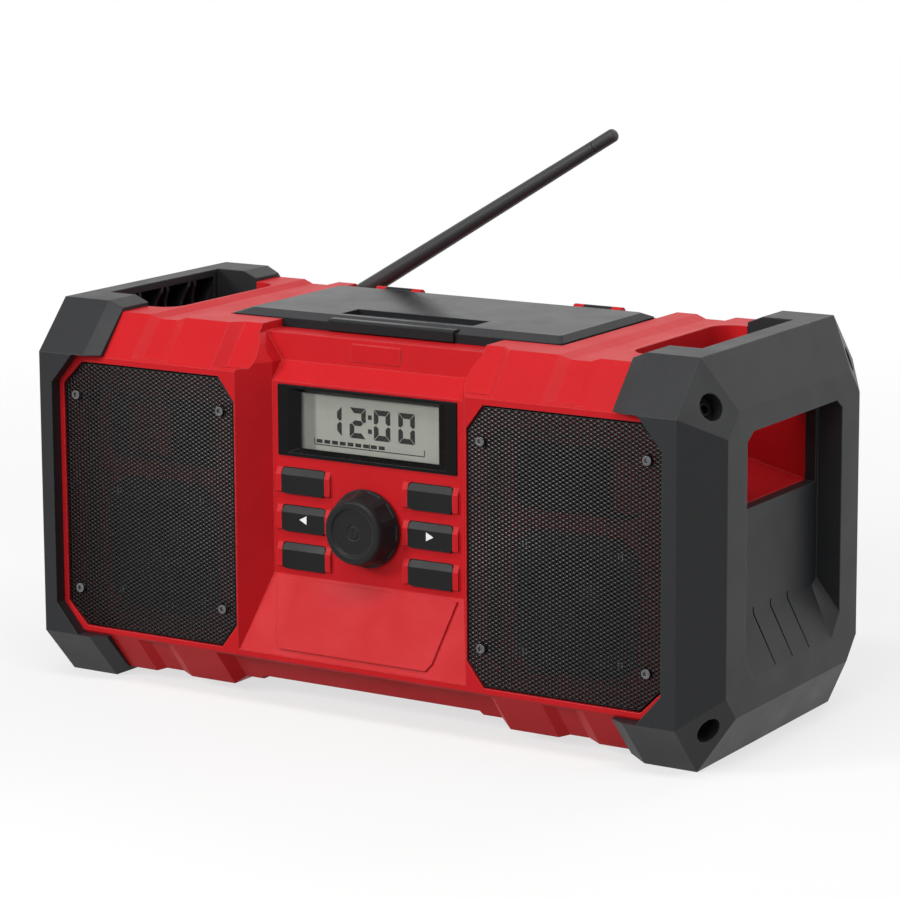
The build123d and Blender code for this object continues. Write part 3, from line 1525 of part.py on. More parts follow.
with BuildPart() as display_window:
    with BuildSketch(front_plane(bezel_back_y)):
        with Locations((0, glass_mid_z)):
            Rectangle(
                2 * (glass_half_width + glass_lap - running),
                glass_height + 2 * (glass_lap - running),
            )
    extrude(amount=glass_t)
save(display_window, "display_window")

with BuildPart() as lcd_module:
    with BuildSketch(front_plane(board_y)):
        with Locations((0, glass_mid_z)):
            Rectangle(2 * (glass_half_width + lcd_lap), glass_height + 2 * glass_lap)
    extrude(amount=board_y - bezel_back_y)
save(lcd_module, "lcd_module")

with BuildPart() as control_board:
    slab(
        (-board_half_width, board_half_width), (board_y, board_y + board_t),
        (board_low, board_high),
    )
save(control_board, "control_board")

with BuildPart() as main_board:
    slab(
        (-main_board_half_width, main_board_half_width), (main_front_y, main_rear_y),
        (main_board_z, main_board_z + board_t),
    )
save(main_board, "main_board")

# ---------------------------------------------------------------- keys
key_back_y = key_flange_y + key_flange_t
key_rows = ("lower", "middle", "upper")
for sx, side_name in ((-1, "left"), (1, "right")):
    for row, row_name in zip((-1, 0, 1), key_rows):
        centre_z = key_z + row * key_pitch
        with BuildPart() as key:
            with BuildSketch(front_plane(key_back_y)):
                with Locations((sx * key_x, centre_z)):
                    RectangleRounded(key_width, key_height, key_corner_r)
            extrude(amount=key_back_y - key_front_y)
            # Bevel along the top edge.
            with BuildSketch(Plane.YZ.offset(sx * key_x - key_width)):
                Polygon(
                    (key_front_y, centre_z + key_height / 2 - key_bevel_z),
                    (panel_y, centre_z + key_height / 2), (panel_y, centre_z + key_height),
                    (key_front_y - overrun, centre_z + key_height),
                    (key_front_y - overrun, centre_z + key_height / 2 - key_bevel_z),
                    align=None,
                )
            extrude(amount=2 * key_width, mode=Mode.SUBTRACT)
            # Flange that stops against the back of the panel.
            with BuildSketch(front_plane(key_back_y)):
                with Locations((sx * key_x, centre_z)):
                    RectangleRounded(
                        key_width + 2 * (key_flange + fit_gap),
                        key_height + 2 * (key_flange + fit_gap), key_corner_r + key_flange,
                    )
            extrude(amount=key_flange_t)
        save(key, "key_" + row_name + "_" + side_name)

mat_front_y = board_y - mat_t
dome_rise = mat_front_y - (key_back_y + key_travel + fit_gap)
mat_half_x = key_x + key_width / 2 + mat_margin
mat_half_z = key_pitch + key_height / 2 + mat_margin
with BuildPart() as keypad_mat:
    slab(
        (-mat_half_x, mat_half_x), (mat_front_y, board_y), (key_z - mat_half_z, key_z + mat_half_z)
    )
    with BuildSketch(front_plane(mat_front_y)):
        with Locations(*key_spots):
            Circle(dome_r)
    extrude(amount=dome_rise, taper=dome_taper)
    slab(
        (-encoder_half - fit_gap, encoder_half + fit_gap), (mat_front_y, board_y),
        (knob_z - encoder_half - fit_gap, knob_z + encoder_half + fit_gap), Mode.SUBTRACT,
    )
save(keypad_mat, "keypad_mat")

# ---------------------------------------------------------------- tuning knob
knob_plane = turning_plane(0, knob_z)
knob_axis = turning_axis(0, knob_z)
encoder_front_y = panel_in_y + fit_gap
with BuildPart() as encoder_body:
    slab(
        (-encoder_half, encoder_half), (encoder_front_y, board_y),
        (knob_z - encoder_half, knob_z + encoder_half),
    )
    with BuildSketch(front_plane(encoder_front_y)):
        with Locations((0, knob_z)):
            Circle(bush_r)
    extrude(amount=encoder_front_y - bush_front_y)
    with BuildSketch(front_plane(rotor_back_y + rotor_gap)):
        with Locations((0, knob_z)):
            Circle(rotor_r + running)
    extrude(amount=2 * knob_height, mode=Mode.SUBTRACT)
save(encoder_body, "encoder_body")


def d_profile(radius, flat):
    """Round section with one flat, facing up."""
    Circle(radius)
    with Locations((0, flat + radius)):
        Rectangle(2 * radius, 2 * radius, mode=Mode.SUBTRACT)


flat_height = shaft_r - shaft_flat
rotor_bore_end = rotor_back_y - rotor_floor
shaft_back_y = rotor_bore_end - knob_travel - knob_gap / 3
shaft_front_y = knob_front_y + knob_wall
with BuildPart() as encoder_rotor:
    with BuildSketch(front_plane(rotor_back_y)):
        with Locations((0, knob_z)):
            Circle(rotor_r)
    extrude(amount=rotor_back_y - bush_front_y - rotor_gap)
    with BuildSketch(front_plane(rotor_bore_end, z=knob_z)):
        d_profile(shaft_r + running, flat_height + running)
    extrude(amount=knob_height, mode=Mode.SUBTRACT)
save(encoder_rotor, "encoder_rotor")

with BuildPart() as knob_shaft:
    with BuildSketch(front_plane(shaft_back_y, z=knob_z)):
        d_profile(shaft_r, flat_height)
    extrude(amount=shaft_back_y - shaft_front_y)
save(knob_shaft, "knob_shaft")

hub_back_y = bush_front_y - knob_travel - knob_gap / 3
flank_back = Vector(knob_base_r, knob_back_y - knob_round, knob_z)
flank_front = Vector(knob_front_r + knob_round, knob_front_y + knob_round, knob_z)
flank_dir = (flank_front - flank_back).normalized()
flank_out = Vector(-flank_dir.Y, flank_dir.X, 0)
scoop_start = flank_back + flank_dir * knob_round + flank_out * (knob_grip_r - knob_grip_bite)
with BuildPart() as knob_scoop:
    # Waste for one wide, shallow finger scoop along the flank.
    with BuildSketch(Plane(origin=scoop_start, z_dir=flank_dir)):
        Circle(knob_grip_r)
    extrude(amount=(flank_front - flank_back).length - knob_round - knob_ring)
knob_scoops = [
    knob_scoop.part.rotate(knob_axis, step * 360 / knob_grips) for step in range(knob_grips)
]
knob_floor_y = knob_front_y + knob_dish_depth

with BuildPart() as tuning_knob:
    with BuildSketch(knob_plane):
        Polygon(
            (0, shaft_front_y), (knob_front_r - knob_wall, shaft_front_y),
            (knob_base_r - knob_wall, knob_back_y), (knob_base_r, knob_back_y),
            (flank_back.X, flank_back.Y), (flank_front.X, flank_front.Y),
            (knob_front_r, knob_front_y), (knob_dish_r, knob_front_y),
            (knob_dish_r - knob_dish_edge, knob_floor_y), (0, knob_floor_y), align=None,
        )
    revolve(axis=knob_axis)
    with BuildSketch(front_plane(hub_back_y)):
        with Locations((0, knob_z)):
            Circle(knob_hub_r)
    extrude(amount=hub_back_y - shaft_front_y)
    for scoop in knob_scoops:
        add(scoop, mode=Mode.SUBTRACT)
    # Engraved power sign on the floor of the dish.
    with BuildSketch(front_plane(knob_floor_y + knob_sign_depth, z=knob_z)):
        Circle(knob_sign_r + knob_sign_line / 2)
        Circle(knob_sign_r - knob_sign_line / 2, mode=Mode.SUBTRACT)
        Rectangle(knob_sign_line, knob_sign_r)
    extrude(amount=knob_sign_depth, mode=Mode.SUBTRACT)
    with BuildSketch(front_plane(hub_back_y, z=knob_z)):
        d_profile(shaft_r + running, flat_height + running)
    extrude(amount=hub_back_y - shaft_front_y, mode=Mode.SUBTRACT)
save(tuning_knob, "tuning_knob")

# ---------------------------------------------------------------- aerial
swivel_low = ledge_z + fit_gap
swivel_high = swivel_low + swivel_disc_t
stem_low = ledge_z - wall - swivel_play
cheek_outer = aerial_tongue / 2 + aerial_cheek_gap + aerial_cheek
with BuildPart() as aerial_base:
    # Two cheeks for the fold pin, kept within the circle of the disc under them.
    for side in (-1, 1):
        cheek_y = aerial_y + side * (aerial_tongue / 2 + aerial_cheek_gap)
        with BuildSketch(front_plane(max(cheek_y, cheek_y + side * aerial_cheek))):
            with Locations((aerial_x, aerial_z)):
                Circle(aerial_head_r)
            with Locations((aerial_x, (swivel_high + aerial_z) / 2)):
                Rectangle(2 * aerial_head_r, aerial_z - swivel_high)
        extrude(amount=aerial_cheek)
    with BuildSketch(Plane.XY.offset(swivel_low)):
        with Locations((aerial_x, aerial_y)):
            Circle(swivel_r)
    extrude(amount=height, mode=Mode.INTERSECT)
    with BuildSketch(Plane.XY.offset(swivel_low)):
        with Locations((aerial_x, aerial_y)):
            Circle(swivel_r)
    extrude(amount=swivel_disc_t)
    with BuildSketch(front_plane(aerial_y + swivel_r)):
        with Locations((aerial_x, aerial_z)):
            Circle(aerial_pin_r + running)
    extrude(amount=2 * swivel_r, mode=Mode.SUBTRACT)
    # Stem down through the ledge, bored for its screw.
    with BuildSketch(Plane.XY.offset(swivel_low)):
        with Locations((aerial_x, aerial_y)):
            Circle(swivel_stem_r)
    extrude(amount=-(swivel_low - stem_low))
    with BuildSketch(Plane.XY.offset(stem_low)):
        with Locations((aerial_x, aerial_y)):
            Circle(aerial_pin_r + running)
    extrude(amount=swivel_low - stem_low, mode=Mode.SUBTRACT)
save(aerial_base, "aerial_base")

aerial_screw_part = driven_screw(
    Plane(origin=(aerial_x, aerial_y, stem_low), z_dir=(0, 0, -1)), cap_screw_head_r,
    fix_head_h, aerial_pin_r, swivel_low - stem_low - swivel_screw_gap, cap_screw_head_r / 2,
)
with BuildPart() as aerial_screw:
    add(aerial_screw_part)
save(aerial_screw, "aerial_screw")

with BuildPart() as aerial_pin:
    with BuildSketch(front_plane(aerial_y + cheek_outer)):
        with Locations((aerial_x, aerial_z)):
            Circle(aerial_pin_r)
    extrude(amount=2 * cheek_outer)
save(aerial_pin, "aerial_pin")

tongue_r = aerial_z - swivel_high - fit_gap
tilt = radians(aerial_tilt)
mast_dir = Vector(cos(tilt), 0, sin(tilt))
mast_foot = Vector(aerial_x, aerial_y, aerial_z)


def mast_plane(distance):
    """Section plane of the mast, at a distance from its pivot."""
    return Plane(origin=mast_foot + mast_dir * distance, x_dir=(0, 1, 0), z_dir=mast_dir)


tip_start = aerial_length - aerial_tip_length
with BuildPart() as aerial_mast:
    # Flat tongue between the cheeks.
    with BuildSketch(front_plane(aerial_y + aerial_tongue / 2)):
        with Locations((aerial_x, aerial_z)):
            Circle(tongue_r)
    extrude(amount=aerial_tongue)
    with BuildSketch(mast_plane(0)):
        Rectangle(aerial_tongue, 2 * aerial_root_r - overrun)
    extrude(amount=aerial_root_start + overrun)
    # Tapered mast.
    with BuildSketch(mast_plane(aerial_root_start)):
        Circle(aerial_root_r)
    with BuildSketch(mast_plane(tip_start)):
        Circle(aerial_end_r)
    loft()
    with BuildSketch(front_plane(aerial_y + aerial_root_r)):
        with Locations((aerial_x, aerial_z)):
            Circle(aerial_pin_r + running)
    extrude(amount=2 * aerial_root_r, mode=Mode.SUBTRACT)
save(aerial_mast, "aerial_mast")

with BuildPart() as aerial_tip:
    with BuildSketch(mast_plane(tip_start)):
        Circle(aerial_end_r - aerial_tip_seam)
    extrude(amount=2 * aerial_tip_seam)
    with BuildSketch(mast_plane(tip_start + aerial_tip_seam)):
        Circle(aerial_end_r)
    extrude(amount=aerial_tip_length - aerial_tip_seam)
    fillet(aerial_tip.faces().sort_by(Axis.Z)[-1].edges(), aerial_end_round)
save(aerial_tip, "aerial_tip")

# ---------------------------------------------------------------- battery dock and inlet
dock_rear_y = dock_front_y + dock_length
rail_low = bay_high - dock_height
with BuildPart() as battery_dock:
    slab(
        (-dock_half_width, dock_half_width), (dock_front_y, dock_rear_y), (dock_under, bay_high)
    )
    for sx in (-1, 1):
        stem_span = sorted((sx * dock_half_width, sx * (dock_half_width - rail_stem)))
        lip_span = sorted((sx * dock_half_width, sx * (dock_half_width - rail_width)))
        slab(stem_span, (dock_front_y, dock_rear_y), (rail_low, dock_under))
        slab(lip_span, (dock_front_y, dock_rear_y), (rail_low, rail_low + rail_lip_t))
save(battery_dock, "battery_dock")

with BuildPart() as battery_terminals:
    for column in (-1, 0, 1):
        blade_x = column * blade_pitch
        slab(
            (blade_x - blade_t / 2, blade_x + blade_t / 2),
            (dock_front_y + dock_inset, dock_front_y + dock_inset + blade_length),
            (dock_under - blade_height, dock_under),
        )
save(battery_terminals, "battery_terminals")

with BuildPart() as dc_jack:
    with BuildSketch(front_plane(casing_front)):
        with Locations((jack_x, jack_z)):
            Circle(jack_r)
    extrude(amount=jack_body)
    with BuildSketch(front_plane(casing_front - wall)):
        with Locations((jack_x, jack_z)):
            Circle(jack_r + jack_flange)
    extrude(amount=jack_flange)
    with BuildSketch(front_plane(casing_front)):
        with Locations((jack_x, jack_z)):
            Circle(jack_hole_r)
            Circle(jack_pin_r, mode=Mode.SUBTRACT)
    extrude(amount=jack_hole_depth, mode=Mode.SUBTRACT)
    with BuildSketch(front_plane(casing_front)):
        with Locations((jack_x, jack_z)):
            Circle(jack_pin_r)
    extrude(amount=flap_plug_length + overrun, mode=Mode.SUBTRACT)
save(dc_jack, "dc_jack")

flap_face_y = casing_front + fit_gap
with BuildPart() as dc_cover:
    with BuildSketch(front_plane(flap_face_y + flap_t)):
        with Locations((flap_pivot_x + flap_width / 2 + flap_barrel_r / 2, jack_z)):
            RectangleRounded(flap_width - flap_barrel_r, flap_height, flap_corner_r)
        with Locations((flap_pivot_x + flap_barrel_r, jack_z)):
            Rectangle(3 * flap_barrel_r, flap_height)
    extrude(amount=flap_t)
    with BuildSketch(front_plane(flap_face_y)):
        with Locations((jack_x, jack_z)):
            Circle(flap_plug_r)
    extrude(amount=flap_plug_length)
    pivot_reach = flap_height / 2 + flap_pivot_reach
    for radius, reach in ((flap_barrel_r, flap_height / 2), (flap_pivot_r, pivot_reach)):
        with BuildSketch(Plane.XY.offset(jack_z - reach)):
            with Locations((flap_pivot_x, flap_pivot_y)):
                Circle(radius)
        extrude(amount=2 * reach)
save(dc_cover, "dc_cover")
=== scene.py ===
import json
import math

import bmesh
import bpy
from bpy.props import FloatProperty, FloatVectorProperty, IntProperty, PointerProperty, StringProperty
from mathutils import Matrix, Vector
from mathutils.geometry import convex_hull_2d


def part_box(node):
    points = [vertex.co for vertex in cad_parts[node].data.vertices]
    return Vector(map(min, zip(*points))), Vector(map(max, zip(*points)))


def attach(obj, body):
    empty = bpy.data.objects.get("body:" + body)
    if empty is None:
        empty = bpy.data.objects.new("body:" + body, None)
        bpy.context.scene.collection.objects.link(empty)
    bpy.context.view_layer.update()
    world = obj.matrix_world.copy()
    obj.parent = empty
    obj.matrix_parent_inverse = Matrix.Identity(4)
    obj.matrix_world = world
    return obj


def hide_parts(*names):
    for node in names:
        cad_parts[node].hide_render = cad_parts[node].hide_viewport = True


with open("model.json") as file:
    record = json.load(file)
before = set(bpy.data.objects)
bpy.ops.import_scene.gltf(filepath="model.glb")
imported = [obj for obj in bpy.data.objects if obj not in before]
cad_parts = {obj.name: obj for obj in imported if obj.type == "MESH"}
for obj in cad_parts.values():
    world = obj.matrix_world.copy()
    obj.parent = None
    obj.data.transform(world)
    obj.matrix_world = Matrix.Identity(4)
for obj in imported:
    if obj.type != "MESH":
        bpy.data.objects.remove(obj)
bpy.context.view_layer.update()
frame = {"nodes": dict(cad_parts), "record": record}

bl_info = {
    "name": "Jobsite Radio Finish",
    "version": (1, 0, 0),
    "blender": (4, 5, 0),
    "location": "View3D > Sidebar > Radio",
    "description": "Dresses the jobsite radio: plastics, rubber, grilles, display, keys and studio",
    "category": "Object",
}

MM = 0.001
SLOT_OF_NODE = {part["node"]: part["material_slot"] for part in frame["record"]["subparts"]}
SIDES = {"left": -1, "right": 1}


# ---------------------------------------------------------------- colours and small helpers
def tint(code):
    """Scene-linear RGB of a colour written as six hexadecimal digits."""
    shares = (int(code[place:place + 2], 16) / 255 for place in (0, 2, 4))
    return tuple(s / 12.92 if s <= 0.04045 else ((s + 0.055) / 1.055) ** 2.4 for s in shares)


def opaque(colour):
    """The colour with an alpha of 1, as a shader socket wants it."""
    return (*colour[:3], 1.0)


def box_mm(node):
    """Lowest and highest corner of a CAD node, in millimetres."""
    low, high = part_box(node)
    return low / MM, high / MM


def sheet_object(name, mesh_maker, body, material):
    """A piece made by mesh_maker(bmesh) in millimetres, with its body and material."""
    made = bmesh.new()
    mesh_maker(made)
    bmesh.ops.scale(made, vec=(MM, MM, MM), verts=made.verts)
    bmesh.ops.recalc_face_normals(made, faces=made.faces)
    mesh = bpy.data.meshes.new(name)
    made.to_mesh(mesh)
    made.free()
    mesh.materials.append(material)
    piece = bpy.data.objects.new(name, mesh)
    bpy.context.scene.collection.objects.link(piece)
    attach(piece, body)
    return piece


def raise_outline(made, outline, y, thickness):
    """Adds a thin plate to the mesh: an (x, z) outline at front face y, going back by a thickness."""
    front = [made.verts.new((x, y, z)) for x, z in outline]
    back = [made.verts.new((x, y + thickness, z)) for x, z in outline]
    made.faces.new(front)
    made.faces.new(reversed(back))
    for i, corner in enumerate(front):
        before = i - 1
        made.faces.new((front[before], corner, back[i], back[before]))


def rectangle(x0, z0, x1, z1):
    """Corners of an upright rectangle, anticlockwise in (x, z)."""
    return [(x0, z0), (x1, z0), (x1, z1), (x0, z1)]


# ---------------------------------------------------------------- shader helpers
def wire(tree, socket, value):
    """Links a socket to another node's output, or sets its value."""
    if isinstance(value, bpy.types.NodeSocket):
        tree.links.new(value, socket)
    else:
        socket.default_value = value


def add_node(tree, kind, inputs=None, **settings):
    """Adds a shader node with its settings and its inputs, given by name or place."""
    made = tree.nodes.new(kind)
    for name, value in settings.items():
        setattr(made, name, value)
    for name, value in (inputs or {}).items():
        wire(tree, made.inputs[name], value)
    return made


def math_node(tree, operation, first, second=0.0):
    """The result of an operation on two values, such as MULTIPLY or MAXIMUM."""
    return add_node(tree, "ShaderNodeMath", {0: first, 1: second}, operation=operation).outputs[0]


def mix_colours(tree, share, first, second):
    """A blend of two colours: all first at a share of 0, all second at 1."""
    made = tree.nodes.new("ShaderNodeMix")
    made.data_type = "RGBA"
    factor, colour_a, colour_b = made.inputs[0], made.inputs[6], made.inputs[7]
    wire(tree, factor, share)
    wire(tree, colour_a, first)
    wire(tree, colour_b, second)
    return made.outputs[2]


def ranged(tree, value, low, high, from_low=0.0, from_high=1.0):
    """A value stretched from one range to another, held inside it."""
    made = add_node(
        tree, "ShaderNodeMapRange",
        {"Value": value, "From Min": from_low, "From Max": from_high, "To Min": low, "To Max": high},
    )
    return made.outputs["Result"]


def new_group(name, inputs, outputs):
    """An empty node group with named sockets, and its input and output nodes."""
    tree = bpy.data.node_groups.new(name, "ShaderNodeTree")
    for label, default in inputs.items():
        socket = tree.interface.new_socket(label, in_out="INPUT", socket_type="NodeSocketFloat")
        socket.default_value = default
    for label, kind in outputs.items():
        tree.interface.new_socket(label, in_out="OUTPUT", socket_type=kind)
    return tree, tree.nodes.new("NodeGroupInput"), tree.nodes.new("NodeGroupOutput")


def grain_group():
    """Fine moulded texture: a bump height and a mask, at a grain size in millimetres."""
    pebble_share = 0.5
    tree, given, result = new_group(
        "moulded_grain",
        {"Grain Size": 0.4},
        {"Height": "NodeSocketFloat", "Mask": "NodeSocketFloat"},
    )
    place = add_node(tree, "ShaderNodeTexCoord").outputs["Object"]
    per_metre = math_node(tree, "DIVIDE", 1 / MM, given.outputs["Grain Size"])
    coarse = add_node(
        tree, "ShaderNodeTexNoise", {"Vector": place, "Scale": per_metre, "Detail": 3.0, "Roughness": 0.6}
    )
    cells = add_node(tree, "ShaderNodeTexVoronoi", {"Vector": place, "Scale": per_metre})
    pebbles = math_node(tree, "MULTIPLY", cells.outputs["Distance"], pebble_share)
    height = math_node(tree, "ADD", coarse.outputs["Fac"], pebbles)
    wire(tree, result.inputs["Height"], height)
    wire(tree, result.inputs["Mask"], ranged(tree, coarse.outputs["Fac"], 0.0, 1.0, 0.35, 0.65))
    return tree


def edge_group():
    """Softened corners: a rounded normal, and a mask that is 1 on outer and inner edges."""
    full_edge, no_edge = 0.86, 0.998
    tree, given, result = new_group(
        "soft_edges",
        {"Edge Radius": 0.5},
        {"Normal": "NodeSocketVector", "Edge": "NodeSocketFloat"},
    )
    radius = math_node(tree, "MULTIPLY", given.outputs["Edge Radius"], MM)
    rounded = add_node(tree, "ShaderNodeBevel", {"Radius": radius}, samples=6).outputs["Normal"]
    flat = add_node(tree, "ShaderNodeNewGeometry").outputs["Normal"]
    likeness = add_node(tree, "ShaderNodeVectorMath", {0: rounded, 1: flat}, operation="DOT_PRODUCT")
    edge = ranged(tree, likeness.outputs["Value"], 1.0, 0.0, full_edge, no_edge)
    wire(tree, result.inputs["Normal"], rounded)
    wire(tree, result.inputs["Edge"], edge)
    return tree


def handling_group():
    """Cloudy handling marks: a soft mask in patches of a size in millimetres, and a finer one."""
    fine_per_patch = 9.0
    tree, given, result = new_group(
        "handling_marks",
        {"Patch Size": 30.0},
        {"Mask": "NodeSocketFloat", "Fine": "NodeSocketFloat"},
    )
    place = add_node(tree, "ShaderNodeTexCoord").outputs["Object"]
    per_metre = math_node(tree, "DIVIDE", 1 / MM, given.outputs["Patch Size"])
    cloud = add_node(
        tree, "ShaderNodeTexNoise",
        {"Vector": place, "Scale": per_metre, "Detail": 5.0, "Roughness": 0.55, "Distortion": 0.4},
    )
    fine = add_node(
        tree, "ShaderNodeTexNoise",
        {"Vector": place, "Scale": math_node(tree, "MULTIPLY", per_metre, fine_per_patch), "Detail": 4.0},
    )
    wire(tree, result.inputs["Mask"], ranged(tree, cloud.outputs["Fac"], 0.0, 1.0, 0.3, 0.7))
    wire(tree, result.inputs["Fine"], ranged(tree, fine.outputs["Fac"], 0.0, 1.0, 0.35, 0.65))
    return tree


def dust_group():
    """Pale dust that settles on surfaces facing up, in specks."""
    specks_per_metre = 260.0
    tree, given, result = new_group("settled_dust", {"Amount": 0.1}, {"Mask": "NodeSocketFloat"})
    normal = add_node(tree, "ShaderNodeNewGeometry").outputs["Normal"]
    facing = add_node(tree, "ShaderNodeSeparateXYZ", {0: normal})
    place = add_node(tree, "ShaderNodeTexCoord").outputs["Object"]
    specks = add_node(
        tree, "ShaderNodeTexNoise",
        {"Vector": place, "Scale": specks_per_metre, "Detail": 6.0, "Roughness": 0.7},
    )
    upward = ranged(tree, facing.outputs["Z"], 0.0, 1.0, 0.3, 1.0)
    patchy = ranged(tree, specks.outputs["Fac"], 0.0, 1.0, 0.45, 0.75)
    settled = math_node(tree, "MULTIPLY", upward, patchy)
    wire(tree, result.inputs["Mask"], math_node(tree, "MULTIPLY", settled, given.outputs["Amount"]))
    return tree


GROUP_MAKERS = {
    "moulded_grain": grain_group,
    "soft_edges": edge_group,
    "handling_marks": handling_group,
    "settled_dust": dust_group,
}


def effect(tree, name, **inputs):
    """Places one of the shared effects in a material; inputs are named with underscores for spaces."""
    made = tree.nodes.new("ShaderNodeGroup")
    made.node_tree = bpy.data.node_groups.get(name) or GROUP_MAKERS[name]()
    for label, value in inputs.items():
        wire(tree, made.inputs[label.replace("_", " ").title()], value)
    return made


def blank_material(name):
    """A new material, its node tree and its Principled shader."""
    material = bpy.data.materials.new(name)
    material.use_nodes = True
    tree = material.node_tree
    return material, tree, tree.nodes["Principled BSDF"]


def lighter(colour, share):
    """The colour moved towards white by a share."""
    return opaque([channel + (1.0 - channel) * share for channel in colour])


def toned(colour, factor):
    """The colour made darker by a factor under 1, or paler by a factor above 1."""
    return opaque([channel * factor for channel in colour])


# What handling does to every moulded finish, with a painted highlight along its edges: to its colour first,
# then to its roughness.
DUST = "B8B2A8"
EDGE_HIGHLIGHT_SHARE, DEEP_FACTOR, MARKED_SHARE, LEAST_EDGE_HIGHLIGHT = 0.22, 0.86, 0.5, 0.4
POLISHED, DULLED, GRAIN_DULLED = 0.04, 0.05, 0.03


def moulded(name, colour, roughness, specular=0.3, grain=0.4, grain_depth=0.02, edge=0.5, edge_highlight=0.25,
            dust=0.015, coat=0.0, sheen=0.0):
    """A moulded or coated finish: grain, softened edges with a painted highlight, handling marks and dust.

    The grain size, the grain depth and the edge radius are in millimetres.
    """
    material, tree, shader = blank_material(name)
    base, edge_highlight_colour, deep = opaque(colour), lighter(colour, EDGE_HIGHLIGHT_SHARE), toned(colour, DEEP_FACTOR)
    marks = effect(tree, "handling_marks")
    edges = effect(tree, "soft_edges", edge_radius=edge)
    texture = effect(tree, "moulded_grain", grain_size=grain)
    settled = effect(tree, "settled_dust", amount=dust)
    marked = math_node(tree, "MULTIPLY", marks.outputs["Mask"], MARKED_SHARE)
    body_colour = mix_colours(tree, marked, base, deep)
    uneven = ranged(tree, marks.outputs["Fine"], LEAST_EDGE_HIGHLIGHT, 1.0)
    # Painted highlight: the edges are blended towards a paler copy of the colour, unevenly along their
    # length.
    highlit_edges = math_node(tree, "MULTIPLY", edges.outputs["Edge"], uneven)
    with_edge_highlight = mix_colours(tree, math_node(tree, "MULTIPLY", highlit_edges, edge_highlight), body_colour, edge_highlight_colour)
    dusty = mix_colours(tree, settled.outputs["Mask"], with_edge_highlight, opaque(tint(DUST)))
    handled = ranged(tree, marks.outputs["Mask"], roughness - POLISHED, roughness + DULLED)
    grain_dull = math_node(tree, "MULTIPLY", texture.outputs["Mask"], GRAIN_DULLED)
    rough = math_node(tree, "ADD", handled, grain_dull)
    bump = add_node(
        tree, "ShaderNodeBump",
        {"Height": texture.outputs["Height"], "Normal": edges.outputs["Normal"], "Strength": 0.6,
         "Distance": grain_depth * MM},
    )
    wire(tree, shader.inputs["Base Color"], dusty)
    wire(tree, shader.inputs["Roughness"], rough)
    wire(tree, shader.inputs["Normal"], bump.outputs["Normal"])
    shader.inputs["Specular IOR Level"].default_value = specular
    shader.inputs["Coat Weight"].default_value = coat
    shader.inputs["Sheen Weight"].default_value = sheen
    return material


def turned_metal(name, colour, roughness, streak=0.06):
    """Plated or turned metal with a fine grain and a few dull patches."""
    dull_factor, scratch_depth = 0.7, 0.01
    material, tree, shader = blank_material(name)
    marks = effect(tree, "handling_marks", patch_size=6.0)
    edges = effect(tree, "soft_edges", edge_radius=0.15)
    texture = effect(tree, "moulded_grain", grain_size=0.15)
    streaked = ranged(tree, texture.outputs["Mask"], roughness, roughness + streak)
    patchy = mix_colours(tree, marks.outputs["Mask"], opaque(colour), toned(colour, dull_factor))
    wire(tree, shader.inputs["Base Color"], patchy)
    wire(tree, shader.inputs["Roughness"], streaked)
    bump = add_node(
        tree, "ShaderNodeBump",
        {"Height": texture.outputs["Height"], "Normal": edges.outputs["Normal"],
         "Distance": scratch_depth * MM},
    )
    wire(tree, shader.inputs["Normal"], bump.outputs["Normal"])
    shader.inputs["Metallic"].default_value = 1.0
    return material


def pressed_paper(name, colour):
    """Loudspeaker cone: pressed paper with fibres."""
    fibres_per_metre, fibre_depth, fibre_factor = 900.0, 0.06, 2.2
    material, tree, shader = blank_material(name)
    place = add_node(tree, "ShaderNodeTexCoord").outputs["Object"]
    fibres = add_node(
        tree, "ShaderNodeTexNoise",
        {"Vector": place, "Scale": fibres_per_metre, "Detail": 6.0, "Roughness": 0.75},
    )
    marks = effect(tree, "handling_marks", patch_size=9.0)
    share = math_node(tree, "MULTIPLY", fibres.outputs["Fac"], marks.outputs["Fine"])
    fibrous = mix_colours(tree, share, opaque(colour), toned(colour, fibre_factor))
    wire(tree, shader.inputs["Base Color"], fibrous)
    bump = add_node(tree, "ShaderNodeBump", {"Height": fibres.outputs["Fac"], "Distance": fibre_depth * MM})
    wire(tree, shader.inputs["Normal"], bump.outputs["Normal"])
    shader.inputs["Roughness"].default_value = 0.42
    return material


def clear_window(name):
    """Clear display window: a faint pale film with a few smears."""
    material, tree, shader = blank_material(name)
    marks = effect(tree, "handling_marks", patch_size=14.0)
    wire(tree, shader.inputs["Roughness"], ranged(tree, marks.outputs["Mask"], 0.02, 0.07))
    wire(tree, shader.inputs["Base Color"], opaque(tint("F2F5F2")))
    wire(tree, shader.inputs["Alpha"], ranged(tree, marks.outputs["Fine"], 0.012, 0.03))
    shader.inputs["Specular IOR Level"].default_value = 0.5
    return material


